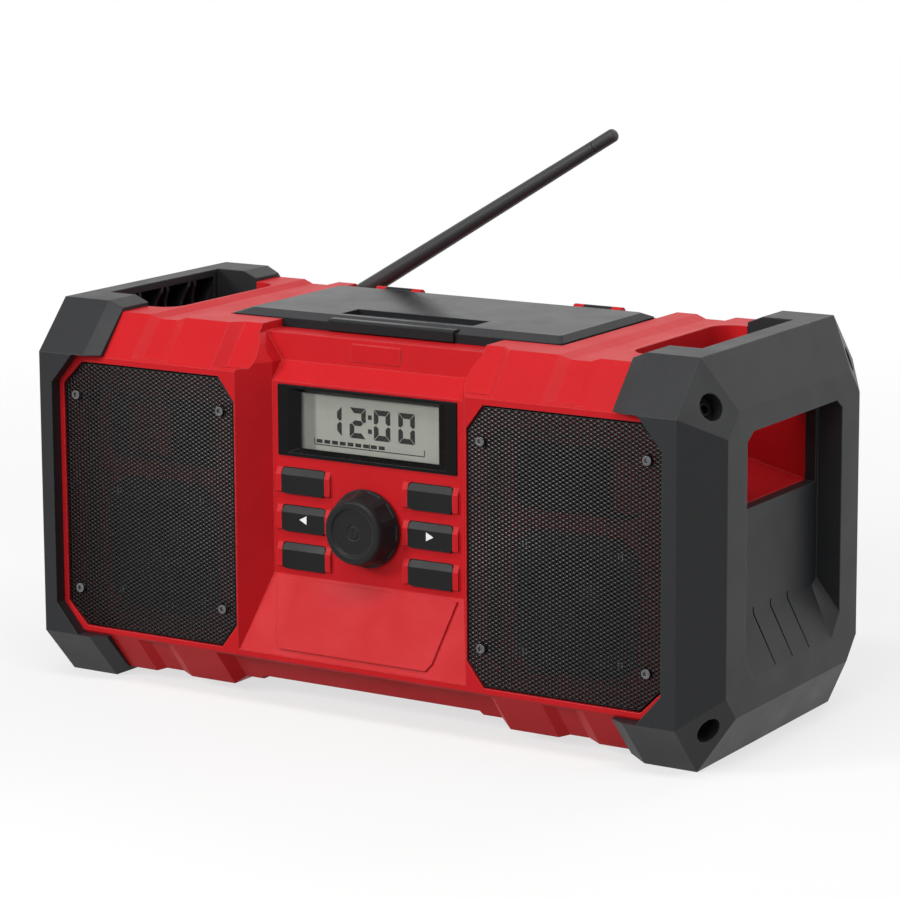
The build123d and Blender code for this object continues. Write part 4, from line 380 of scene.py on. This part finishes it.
def liquid_crystal(name, colour):
    """Grey-green reflective panel, with a fine grain and a painted shadow of the bezel along its left and top
    edges.
    """
    left_band, band_fade, top_fade = 8.5, 2.0, 4.0
    band_share, mark_share, shaded = 0.95, 0.12, 0.5
    material, tree, shader = blank_material(name)
    low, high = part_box("display_window")
    place = add_node(tree, "ShaderNodeTexCoord").outputs["Object"]
    spot = add_node(tree, "ShaderNodeSeparateXYZ", {0: place})
    from_left = math_node(tree, "SUBTRACT", spot.outputs["X"], low.x)
    from_top = math_node(tree, "SUBTRACT", high.z, spot.outputs["Z"])
    # Painted shadow of the bezel: the panel colour is darkened in a band along its left and top edges.
    side_shade = ranged(tree, from_left, 1.0, 0.0, left_band * MM, (left_band + band_fade) * MM)
    top_shade = ranged(tree, from_top, 1.0, 0.0, 0.0, top_fade * MM)
    shade = math_node(tree, "MULTIPLY", math_node(tree, "MAXIMUM", side_shade, top_shade), band_share)
    marks = effect(tree, "handling_marks", patch_size=12.0)
    texture = effect(tree, "moulded_grain", grain_size=0.12)
    deep = toned(colour, shaded)
    marked = math_node(tree, "MULTIPLY", marks.outputs["Mask"], mark_share)
    base = mix_colours(tree, marked, opaque(colour), deep)
    wire(tree, shader.inputs["Base Color"], mix_colours(tree, shade, base, deep))
    wire(tree, shader.inputs["Roughness"], ranged(tree, texture.outputs["Mask"], 0.32, 0.42))
    shader.inputs["Specular IOR Level"].default_value = 0.2
    return material


# ---------------------------------------------------------------- sizes and colours a user would change
def colour_property(label, words, code):
    """A colour that a user can change, with its default as six hexadecimal digits."""
    return FloatVectorProperty(
        name=label, description=words, subtype="COLOR", size=3, min=0.0, max=1.0, default=tint(code)
    )


def length_property(label, words, millimetres):
    """A length in millimetres that a user can change."""
    return FloatProperty(name=label, description=words, default=millimetres, min=0.0)


class RadioColours(bpy.types.PropertyGroup):
    """Colours of the radio's plastics, rubber and marks"""
    casing: colour_property("Casing", "Red of the moulded casing", "C01D23")
    cap: colour_property("End Caps", "Charcoal of the end caps", "1F2022")
    lid: colour_property("Lid", "Grey of the lid and its latch", "28292B")
    key: colour_property("Keys", "Grey of the keys", "131415")
    knob: colour_property("Knob", "Grey of the tuning knob", "131315")
    grille: colour_property("Grilles", "Coating of the perforated grilles", "040405")
    black: colour_property("Black Trim", "Bezel and inner mouldings", "0B0B0C")
    aerial: colour_property("Aerial", "Satin rubber of the aerial", "303032")
    screen: colour_property("Screen", "Grey-green of the display", "999B92")
    segment: colour_property("Segments", "Dark segments of the display", "10100E")
    mark: colour_property("Key Marks", "White of the marks on the keys", "F2F2F0")


class GrilleSizes(bpy.types.PropertyGroup):
    """Sizes of the perforated sheet"""
    pitch: length_property("Hole Pitch", "Distance from one hole to the next, in mm", 2.2)
    hole: length_property("Hole Width", "Diameter of each hole, in mm", 1.62)
    ridge: length_property("Web Ridge", "How far the webs stand proud of the hole edges, in mm", 0.15)
    sheet: length_property("Sheet", "Thickness of the perforated sheet, in mm", 0.7)
    fold: length_property("Fold Radius", "Radius of the folded edge, in mm", 1.1)
    sides: IntProperty(
        name="Hole Sides", description="Straight sides of one hole, in multiples of six", default=6, min=6
    )


class DisplaySizes(bpy.types.PropertyGroup):
    """What the display shows, and the sizes of its digits and its level scale"""
    reading: StringProperty(name="Reading", description="The four digits shown", default="1200", maxlen=4)
    digit_width: length_property("Digit Width", "Width of one digit, in mm", 9.9)
    digit_low: length_property("Digit Foot", "Height of the digits' feet above the floor, in mm", 143.75)
    digit_high: length_property("Digit Top", "Height of the digits' tops above the floor, in mm", 159.55)
    stroke: length_property("Stroke", "Width of a digit's stroke, in mm", 2.8)
    pitch: length_property("Digit Pitch", "Distance from one digit to the next, in mm", 14.7)
    first_right: FloatProperty(
        name="First Digit", description="Right edge of the first digit, in mm", default=-17.6
    )
    bars: IntProperty(name="Bars", description="Lit bars of the level scale", default=9, min=0, max=12)


class StageSizes(bpy.types.PropertyGroup):
    """Camera and backdrop of the studio"""
    camera_place: FloatVectorProperty(
        name="Camera", description="Place of the camera, in mm", size=3, default=(914.35, -1468.93, 476.38)
    )
    camera_pitch: FloatProperty(
        name="Pitch", description="How far the camera looks down", subtype="ANGLE", default=0.1697
    )
    camera_yaw: FloatProperty(
        name="Yaw", description="How far the camera is turned to the left", subtype="ANGLE", default=0.5543
    )
    camera_roll: FloatProperty(
        name="Roll", description="Tilt of the camera", subtype="ANGLE", default=-0.0047
    )
    lens: length_property("Lens", "Focal length on a 36 mm sensor, in mm", 134.5)
    backdrop: colour_property("Backdrop", "Colour of the floor and backdrop", "F0F0EF")


GROUPS = {
    "radio_colours": RadioColours,
    "radio_grille": GrilleSizes,
    "radio_display": DisplaySizes,
    "radio_stage": StageSizes,
}


# ---------------------------------------------------------------- dressing the CAD nodes
def dress_node(node, material):
    """Gives a material to one CAD node."""
    mesh = frame["nodes"][node].data
    mesh.materials.clear()
    mesh.materials.append(material)


def dress(slot, material):
    """Gives a material to every CAD node of one material slot."""
    for node, its_slot in SLOT_OF_NODE.items():
        if its_slot == slot:
            dress_node(node, material)


class RADIO_OT_dress_shells(bpy.types.Operator):
    """Dress the casing, end caps, lid, latch and other moulded plastic"""
    bl_idname = "radio.dress_shells"
    bl_label = "Dress Shells"

    def execute(self, context):
        colours = context.scene.radio_colours
        dress("casing_red", moulded(
            "casing_satin_red", colours.casing, roughness=0.4, specular=0.09, grain=0.5, grain_depth=0.008,
            edge=0.7, edge_highlight=0.3,
        ))
        dress("cap_grey", moulded(
            "cap_fine_texture", colours.cap, roughness=0.43, specular=0.25, grain=0.35, grain_depth=0.03,
            edge=0.8, edge_highlight=0.12,
        ))
        dress("lid_grey", moulded(
            "lid_satin_grey", colours.lid, roughness=0.17, specular=0.03, grain=0.3, grain_depth=0.006,
            edge=0.5, edge_highlight=0.12,
        ))
        dress("moulded_black", moulded("moulded_black", colours.black, roughness=0.45))
        dress("bezel_black", moulded(
            "bezel_gloss_black", colours.black, roughness=0.22, specular=0.1, grain=0.8, grain_depth=0.004,
            edge=0.4, edge_highlight=0.1,
        ))
        return {"FINISHED"}


class RADIO_OT_dress_rubber(bpy.types.Operator):
    """Dress the aerial, the seal, the key mat, the inlet's cover and the speaker surrounds"""
    bl_idname = "radio.dress_rubber"
    bl_label = "Dress Rubber"

    def execute(self, context):
        colours = context.scene.radio_colours
        dress("aerial_rubber", moulded(
            "aerial_satin_rubber", colours.aerial, roughness=0.42, specular=0.3, grain=0.4, grain_depth=0.004,
            edge=0.3, edge_highlight=0.0,
        ))
        dress("soft_rubber", moulded(
            "matt_rubber", colours.black, roughness=0.75, specular=0.25, grain=0.25, grain_depth=0.03,
            sheen=0.1,
        ))
        dress("surround_rubber", moulded(
            "surround_rubber", colours.black, roughness=0.6, specular=0.3, grain=0.3, sheen=0.1,
        ))
        return {"FINISHED"}


class RADIO_OT_dress_metal(bpy.types.Operator):
    """Dress screws, pins, terminals and the encoder"""
    bl_idname = "radio.dress_metal"
    bl_label = "Dress Metal"

    def execute(self, context):
        dress("screw_black", turned_metal("black_oxide_screw", tint("727274"), 0.16))
        # The screws deep in the end caps get a darker and rougher copy of the screw metal; the darker colour
        # is painted shade of their bores.
        dress_node("end_cap_screws", turned_metal("bore_shaded_screw", tint("161617"), 0.45))
        dress("steel_pin", turned_metal("plain_steel", tint("B9BABB"), 0.3))
        dress("encoder_metal", turned_metal("plated_steel", tint("C4C4C2"), 0.24))
        dress("magnet_steel", turned_metal("dark_plated_steel", tint("5A5A5E"), 0.4))
        dress("terminal_brass", turned_metal("plated_brass", tint("C9A558"), 0.26))
        return {"FINISHED"}


class RADIO_OT_dress_speakers(bpy.types.Operator):
    """Dress the loudspeaker frames and cones"""
    bl_idname = "radio.dress_speakers"
    bl_label = "Dress Speakers"

    def execute(self, context):
        colours = context.scene.radio_colours
        dress("speaker_gloss", moulded(
            "speaker_gloss_black", colours.black, roughness=0.2, specular=0.45, grain=0.8, grain_depth=0.004,
        ))
        dress("cone_black", pressed_paper("cone_pressed_paper", colours.black))
        return {"FINISHED"}


# ---------------------------------------------------------------- perforated grilles
def grille_shape(side):
    """Corners of one grille pan in (x, z), anticlockwise, and its box, read from its CAD node."""
    same_corner = 0.5
    mesh = frame["nodes"][f"grille_{side}"].data
    spots = [Vector((v.co.x / MM, v.co.z / MM)) for v in mesh.vertices]
    hull = [spots[i] for i in convex_hull_2d(spots)]
    corners = [spot for i, spot in enumerate(hull) if (spot - hull[i - 1]).length > same_corner]
    low, high = box_mm(f"grille_{side}")
    return [tuple(corner) for corner in corners], low, high


def perforate(made, low, high, y, sizes):
    """A staggered sheet of holes in upright columns: each cell is a hexagon, ridged round its hole."""
    weld, spare = 0.01, 2
    column_step = sizes.pitch * math.sqrt(3) / 2
    middle = (low + high) / 2
    columns = int((high.x - low.x) / 2 / column_step) + spare
    rows = int((high.z - low.z) / 2 / sizes.pitch) + spare
    sixth = math.tau / 6
    spokes = []
    for i in range(sizes.sides):
        turn = math.tau * i / sizes.sides
        to_side = turn % sixth - sixth / 2
        reach = sizes.pitch / 2 / math.cos(to_side)
        spokes.append((math.cos(turn), math.sin(turn), reach))
    for column in range(-columns, columns + 1):
        shift = (column % 2) / 2
        for row in range(-rows, rows + 1):
            x = middle.x + column * column_step
            z = middle.z + (row + shift) * sizes.pitch
            hole_ring = [
                made.verts.new((x + sizes.hole / 2 * across, y + sizes.ridge, z + sizes.hole / 2 * up))
                for across, up, _ in spokes
            ]
            cell_ring = [
                made.verts.new((x + reach * across, y, z + reach * up)) for across, up, reach in spokes
            ]
            for i in range(sizes.sides):
                made.faces.new((hole_ring[i - 1], hole_ring[i], cell_ring[i], cell_ring[i - 1]))
    bmesh.ops.remove_doubles(made, verts=made.verts, dist=weld)


def trim_to_outline(made, outline):
    """Cuts a sheet back to a convex outline."""
    on_the_line = 1e-4
    for i, (x, z) in enumerate(outline):
        x_before, z_before = outline[i - 1]
        outward = Vector((z - z_before, 0, x_before - x))
        bmesh.ops.bisect_plane(
            made, geom=[*made.verts, *made.edges, *made.faces], plane_co=(x, 0, z), plane_no=outward,
            clear_outer=True, dist=on_the_line,
        )


def inset_outline(outline, inset):
    """A convex outline, given anticlockwise in (x, z), moved inward by an inset."""
    moved = []
    for i, here in enumerate(outline):
        before, after = outline[i - 1], outline[(i + 1) % len(outline)]
        first = Vector(here) - Vector(before)
        second = Vector(after) - Vector(here)
        normal_a = Vector((-first.y, first.x)).normalized()
        normal_b = Vector((-second.y, second.x)).normalized()
        bisector = normal_a + normal_b
        reach = inset / (1 + normal_a.dot(normal_b))
        moved.append((here[0] + bisector.x * reach, here[1] + bisector.y * reach))
    return moved


def folded_rim(made, outline, front, back, radius, sheet):
    """The pan's folded edge: a quarter bend round the outline and a wall going back."""
    steps = 4
    turns = [math.pi / 2 * i / steps for i in range(steps + 1)]
    bend = [(radius * (1 - math.sin(turn)), front + radius * (1 - math.cos(turn))) for turn in turns]
    outer = [*bend, (0, back)]
    inner = [(sheet, back), (sheet, front + radius), (radius, front + sheet)]
    profile = outer + inner
    rings = [
        [made.verts.new((x, y, z)) for x, z in inset_outline(outline, inset)] for inset, y in profile
    ]
    count = len(outline)
    for ring, following in zip(rings, rings[1:] + rings[:1]):
        for i in range(count):
            made.faces.new((ring[i - 1], ring[i], following[i], following[i - 1]))


class RADIO_OT_perforate_grilles(bpy.types.Operator):
    """Stamp the two grille pans: staggered holes and a folded edge"""
    bl_idname = "radio.perforate_grilles"
    bl_label = "Perforate Grilles"

    def execute(self, context):
        sizes = context.scene.radio_grille
        fold_lap = 0.9
        coat = moulded(
            "grille_powder_coat", context.scene.radio_colours.grille, roughness=0.2, specular=0.16, grain=0.2,
            grain_depth=0.003, edge=0.12, edge_highlight=0.2, dust=0.02,
        )
        for side in SIDES:
            outline, low, high = grille_shape(side)

            def stamped(made):
                perforate(made, low, high, low.y, sizes)
                trim_to_outline(made, inset_outline(outline, fold_lap * sizes.fold))
                sheet_faces = list(made.faces)
                for face in sheet_faces:
                    face.smooth = False
                bmesh.ops.solidify(made, geom=sheet_faces, thickness=sizes.sheet)
                front = min(v.co.y for v in made.verts)
                bmesh.ops.translate(made, verts=made.verts, vec=(0, low.y - front, 0))
                folded_rim(made, outline, low.y, high.y, sizes.fold, sizes.sheet)

            pan = sheet_object(f"grille_mesh_{side}", stamped, "root", coat)
            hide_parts(f"grille_{side}")
        return {"FINISHED"}


# ---------------------------------------------------------------- display
# Strokes of each digit: a at the top, b and c on the right, d at the foot, e and f on the left, g between.
SEGMENTS_OF_DIGIT = {
    "0": "abcdef", "1": "bc", "2": "abged", "3": "abgcd", "4": "fgbc",
    "5": "afgcd", "6": "afgedc", "7": "abc", "8": "abcdefg", "9": "abcdfg",
}
SEGMENT_GAP = 0.3  # mm from a corner of the digit to the tips of its strokes
TIP_SHARE = 0.4  # share of half a stroke by which an upright's outer edge ends before the middle
INK = 0.05  # mm, thickness of a printed mark


def segment_outline(which, x0, z0, x1, z1, stroke):
    """Outline of one segment of a digit in the box (x0, z0) to (x1, z1), with mitred ends."""
    middle = (z0 + z1) / 2
    gap = SEGMENT_GAP
    half = stroke / 2
    flat = {
        "a": [(x0 + gap, z1), (x1 - gap, z1), (x1 - stroke, z1 - stroke), (x0 + stroke, z1 - stroke)],
        "d": [(x0 + gap, z0), (x0 + stroke, z0 + stroke), (x1 - stroke, z0 + stroke), (x1 - gap, z0)],
        "g": [
            (x0 + gap + half, middle), (x0 + stroke + gap, middle + half), (x1 - stroke - gap, middle + half),
            (x1 - gap - half, middle), (x1 - stroke - gap, middle - half), (x0 + stroke + gap, middle - half),
        ],
    }
    if which in flat:
        return flat[which]
    right = which in "bc"
    upper = which in "bf"
    edge, inward = (x1, -1) if right else (x0, 1)
    far, near = (z1, middle) if upper else (z0, middle)
    step = -1 if upper else 1
    return [
        (edge, far + step * gap), (edge + inward * stroke, far + step * (gap + stroke)),
        (edge + inward * stroke, near - step * (half + gap)), (edge + inward * half, near - step * gap),
        (edge, near - step * (half * TIP_SHARE + gap)),
    ]


class RADIO_OT_dress_display(bpy.types.Operator):
    """Dress the display: panel, dark segments, level bars and window"""
    bl_idname = "radio.dress_display"
    bl_label = "Dress Display"

    def execute(self, context):
        sizes, colours = context.scene.radio_display, context.scene.radio_colours
        dress("lcd_green", liquid_crystal("liquid_crystal", colours.screen))
        dress("window_clear", clear_window("clear_window"))
        ink = moulded(
            "segment_ink", colours.segment, roughness=0.5, specular=0.15, grain=0.1, grain_depth=0.002,
            edge=0.02, edge_highlight=0.0, dust=0.0,
        )
        panel_low, _ = box_mm("lcd_module")
        y = panel_low.y - INK

        def segments(made):
            for place, digit in enumerate(sizes.reading):
                right = sizes.first_right + place * sizes.pitch
                left = right - sizes.digit_width
                for which in SEGMENTS_OF_DIGIT[digit]:
                    outline = segment_outline(
                        which, left, sizes.digit_low, right, sizes.digit_high, sizes.stroke
                    )
                    raise_outline(made, outline, y, INK)
            self.colon(made, sizes, y)
            self.scale(made, sizes, y)

        sheet_object("display_segments", segments, "root", ink)
        return {"FINISHED"}

    @staticmethod
    def colon(made, sizes, y):
        """Two square dots between the second and the third digit."""
        half, low_share, high_share = 1.15, 0.27, 0.73
        between = 1.5 * sizes.pitch
        x = sizes.first_right + between - sizes.digit_width / 2
        digit_height = sizes.digit_high - sizes.digit_low
        for share in (low_share, high_share):
            z = sizes.digit_low + share * digit_height
            raise_outline(made, rectangle(x - half, z - half, x + half, z + half), y, INK)

    @staticmethod
    def scale(made, sizes, y):
        """A level line with an end tick each side and one between, and the lit bars above it."""
        line_z, half, left, right = 138.35, 0.25, -34.3, 32.1
        tick_high, bar_low, bar_high = 141.55, 139.25, 141.15
        bar_pitch, bar_width, first_bar = 4.73, 3.6, -33.1
        bars_before_tick, tick_clearance = 7, 0.7
        raise_outline(made, rectangle(left, line_z - half, right, line_z + half), y, INK)
        middle_tick = first_bar + bars_before_tick * bar_pitch - tick_clearance
        for x in (left, right, middle_tick):
            raise_outline(made, rectangle(x - half, line_z + half, x + half, tick_high), y, INK)
        for bar in range(sizes.bars):
            x = first_bar + bar * bar_pitch
            raise_outline(made, rectangle(x, bar_low, x + bar_width, bar_high), y, INK)


# ---------------------------------------------------------------- keys and knob
class RADIO_OT_dress_keys(bpy.types.Operator):
    """Dress the keys and print the arrows on the middle pair"""
    bl_idname = "radio.dress_keys"
    bl_label = "Dress Keys"

    def execute(self, context):
        colours = context.scene.radio_colours
        dress("key_grey", moulded(
            "key_satin", colours.key, roughness=0.38, specular=0.16, grain=0.3, grain_depth=0.015, edge=0.5,
        ))
        paint = moulded(
            "key_mark_paint", colours.mark, roughness=0.45, specular=0.3, grain=0.2, grain_depth=0.004,
            edge=0.05, edge_highlight=0.0, dust=0.0,
        )
        arrow_length, arrow_half_height = 4.4, 2.3
        for side, pointing in SIDES.items():
            low, high = box_mm(f"key_middle_{side}")
            middle = (low + high) / 2
            tip = middle.x + pointing * arrow_length / 2
            heel = middle.x - pointing * arrow_length / 2
            top, foot = middle.z + arrow_half_height, middle.z - arrow_half_height
            outline = [(tip, middle.z), (heel, top), (heel, foot)]

            def arrow(made):
                raise_outline(made, outline, low.y - INK, INK)

            sheet_object(f"key_arrow_{side}", arrow, f"key_middle_{side}", paint)
        return {"FINISHED"}


class RADIO_OT_dress_knob(bpy.types.Operator):
    """Dress the tuning knob"""
    bl_idname = "radio.dress_knob"
    bl_label = "Dress Knob"

    def execute(self, context):
        colours = context.scene.radio_colours
        dress("knob_grey", moulded(
            "knob_satin_rubber", colours.knob, roughness=0.42, specular=0.18, grain=0.3, grain_depth=0.02,
            edge=0.8, edge_highlight=0.12, sheen=0.05,
        ))
        return {"FINISHED"}


class RADIO_OT_dress_boards(bpy.types.Operator):
    """Dress the circuit boards"""
    bl_idname = "radio.dress_boards"
    bl_label = "Dress Boards"

    def execute(self, context):
        dress("board_green", moulded(
            "solder_mask", tint("0F4A2A"), roughness=0.3, specular=0.4, grain=1.2, grain_depth=0.01, edge=0.1,
            coat=0.2,
        ))
        return {"FINISHED"}


# ---------------------------------------------------------------- stage
LAMP_AIM = (0, 0, 0.1)
SOFT_BOXES = {
    # name: place, width and depth in metres, power in watts
    "top_soft_box": ((0.22, -0.66, 1.5), 1.65, 0.25, 13.0),
    "front_soft_box": ((0.1, -2.0, 0.95), 1.1, 0.9, 15.0),
    "left_soft_box": ((-1.15, -1.75, 1.05), 0.45, 0.45, 19.0),
    "side_soft_box": ((2.0, 0.6, 0.95), 1.0, 0.9, 9.0),
    "back_soft_box": ((0.35, 1.65, 1.65), 1.2, 0.7, 12.0),
}


def area_lamp(name, place, width, depth, power):
    """A soft box at a place in metres, turned to the middle of the radio, with its power in watts."""
    lamp = bpy.data.lights.new(name, "AREA")
    lamp.shape = "RECTANGLE"
    lamp.size = width
    lamp.size_y = depth
    lamp.energy = power
    holder = bpy.data.objects.new(name, lamp)
    holder.location = place
    holder.rotation_euler = (Vector(LAMP_AIM) - Vector(place)).to_track_quat("-Z", "Y").to_euler()
    bpy.context.scene.collection.objects.link(holder)


def seen_directly(tree):
    """1 for rays that show the background: camera, mirror and glass rays."""
    path = add_node(tree, "ShaderNodeLightPath")
    shown = math_node(tree, "MAXIMUM", path.outputs["Is Camera Ray"], path.outputs["Is Glossy Ray"])
    return math_node(tree, "MAXIMUM", shown, path.outputs["Is Transmission Ray"])


class RADIO_OT_build_stage(bpy.types.Operator):
    """Build the studio: pale floor, white surround, soft boxes and camera"""
    bl_idname = "radio.build_stage"
    bl_label = "Build Stage"

    def execute(self, context):
        sizes = context.scene.radio_stage
        self.floor(sizes)
        self.surround()
        self.lamps()
        self.camera(context.scene, sizes)
        context.scene.view_settings.view_transform = "Standard"
        return {"FINISHED"}

    @staticmethod
    def floor(sizes):
        """A wide pale floor that melts into the surround and keeps a faint shadow."""
        reach, level = 12.0, -0.0002
        painted, melted = 0.68, 1.0
        least_glow, full_glow = 0.3, 1.1
        light_sent_back = 0.35
        material = bpy.data.materials.new("studio_floor")
        material.use_nodes = True
        tree = material.node_tree
        tree.nodes.clear()
        seen = seen_directly(tree)
        dim = toned(sizes.backdrop, light_sent_back)
        colour = mix_colours(tree, seen, dim, opaque(sizes.backdrop))
        paint = add_node(tree, "ShaderNodeBsdfDiffuse", {"Color": colour})
        glow = add_node(tree, "ShaderNodeEmission", {"Color": (1, 1, 1, 1), "Strength": 1.0})
        spot = add_node(tree, "ShaderNodeTexCoord").outputs["Object"]
        away = add_node(tree, "ShaderNodeVectorMath", {0: spot}, operation="LENGTH").outputs["Value"]
        glowing = ranged(tree, away, painted, melted, least_glow, full_glow)
        share = math_node(tree, "MULTIPLY", seen, glowing)
        mixed = add_node(tree, "ShaderNodeMixShader", {0: share, 1: paint.outputs[0], 2: glow.outputs[0]})
        output = add_node(tree, "ShaderNodeOutputMaterial")
        tree.links.new(mixed.outputs[0], output.inputs["Surface"])
        mesh = bpy.data.meshes.new("studio_floor")
        corners = [(x, y, level) for x, y in rectangle(-reach, -reach, reach, reach)]
        mesh.from_pydata(corners, [], [(0, 1, 2, 3)])
        mesh.materials.append(material)
        floor = bpy.data.objects.new("studio_floor", mesh)
        bpy.context.scene.collection.objects.link(floor)

    @staticmethod
    def surround():
        """White where it is seen, softer where it only lights the radio."""
        lighting_strength, seen_strength = 0.2, 1.0
        world = bpy.data.worlds.new("studio_surround")
        world.use_nodes = True
        bpy.context.scene.world = world
        tree = world.node_tree
        background = tree.nodes["Background"]
        background.inputs["Color"].default_value = (1, 1, 1, 1)
        strength = ranged(tree, seen_directly(tree), lighting_strength, seen_strength)
        wire(tree, background.inputs["Strength"], strength)

    @staticmethod
    def lamps():
        """Soft boxes above, in front, to the left, at the right side and behind."""
        for name, (place, width, depth, power) in SOFT_BOXES.items():
            area_lamp(name, place, width, depth, power)

    @staticmethod
    def camera(scene, sizes):
        """The camera, ahead and to the right, looking down a little, with its view raised in the frame."""
        frame_pixels, raised_pixels = 900, 100
        data = bpy.data.cameras.new("studio_camera")
        data.lens = sizes.lens
        data.sensor_width = 36.0
        data.shift_y = -raised_pixels / frame_pixels
        data.clip_start, data.clip_end = 0.05, 60.0
        camera = bpy.data.objects.new("studio_camera", data)
        turned = (
            Matrix.Rotation(sizes.camera_yaw, 4, "Z")
            @ Matrix.Rotation(math.pi / 2 - sizes.camera_pitch, 4, "X")
            @ Matrix.Rotation(sizes.camera_roll, 4, "Z")
        )
        camera.matrix_world = Matrix.Translation(Vector(sizes.camera_place) * MM) @ turned
        scene.collection.objects.link(camera)
        scene.camera = camera


STEPS = (
    RADIO_OT_dress_shells, RADIO_OT_dress_rubber, RADIO_OT_dress_metal, RADIO_OT_dress_speakers,
    RADIO_OT_perforate_grilles, RADIO_OT_dress_display, RADIO_OT_dress_keys, RADIO_OT_dress_knob,
    RADIO_OT_dress_boards, RADIO_OT_build_stage,
)


class RADIO_PT_finish(bpy.types.Panel):
    """Lists the steps that dress the radio"""
    bl_idname = "RADIO_PT_finish"
    bl_label = "Jobsite Radio"
    bl_space_type = "VIEW_3D"
    bl_region_type = "UI"
    bl_category = "Radio"

    def draw(self, context):
        for step in STEPS:
            self.layout.operator(step.bl_idname)


def register():
    """Adds the settings, the steps and the panel."""
    for name, group in GROUPS.items():
        bpy.utils.register_class(group)
        setattr(bpy.types.Scene, name, PointerProperty(type=group))
    for cls in (*STEPS, RADIO_PT_finish):
        bpy.utils.register_class(cls)


def unregister():
    """Takes the panel, the steps and the settings away again."""
    for cls in (RADIO_PT_finish, *reversed(STEPS)):
        bpy.utils.unregister_class(cls)
    for name, group in reversed(GROUPS.items()):
        delattr(bpy.types.Scene, name)
        bpy.utils.unregister_class(group)


def main():
    """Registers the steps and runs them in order."""
    register()
    for step in STEPS:
        family, action = step.bl_idname.split(".")
        getattr(getattr(bpy.ops, family), action)()


if __name__ == "__main__":
    main()
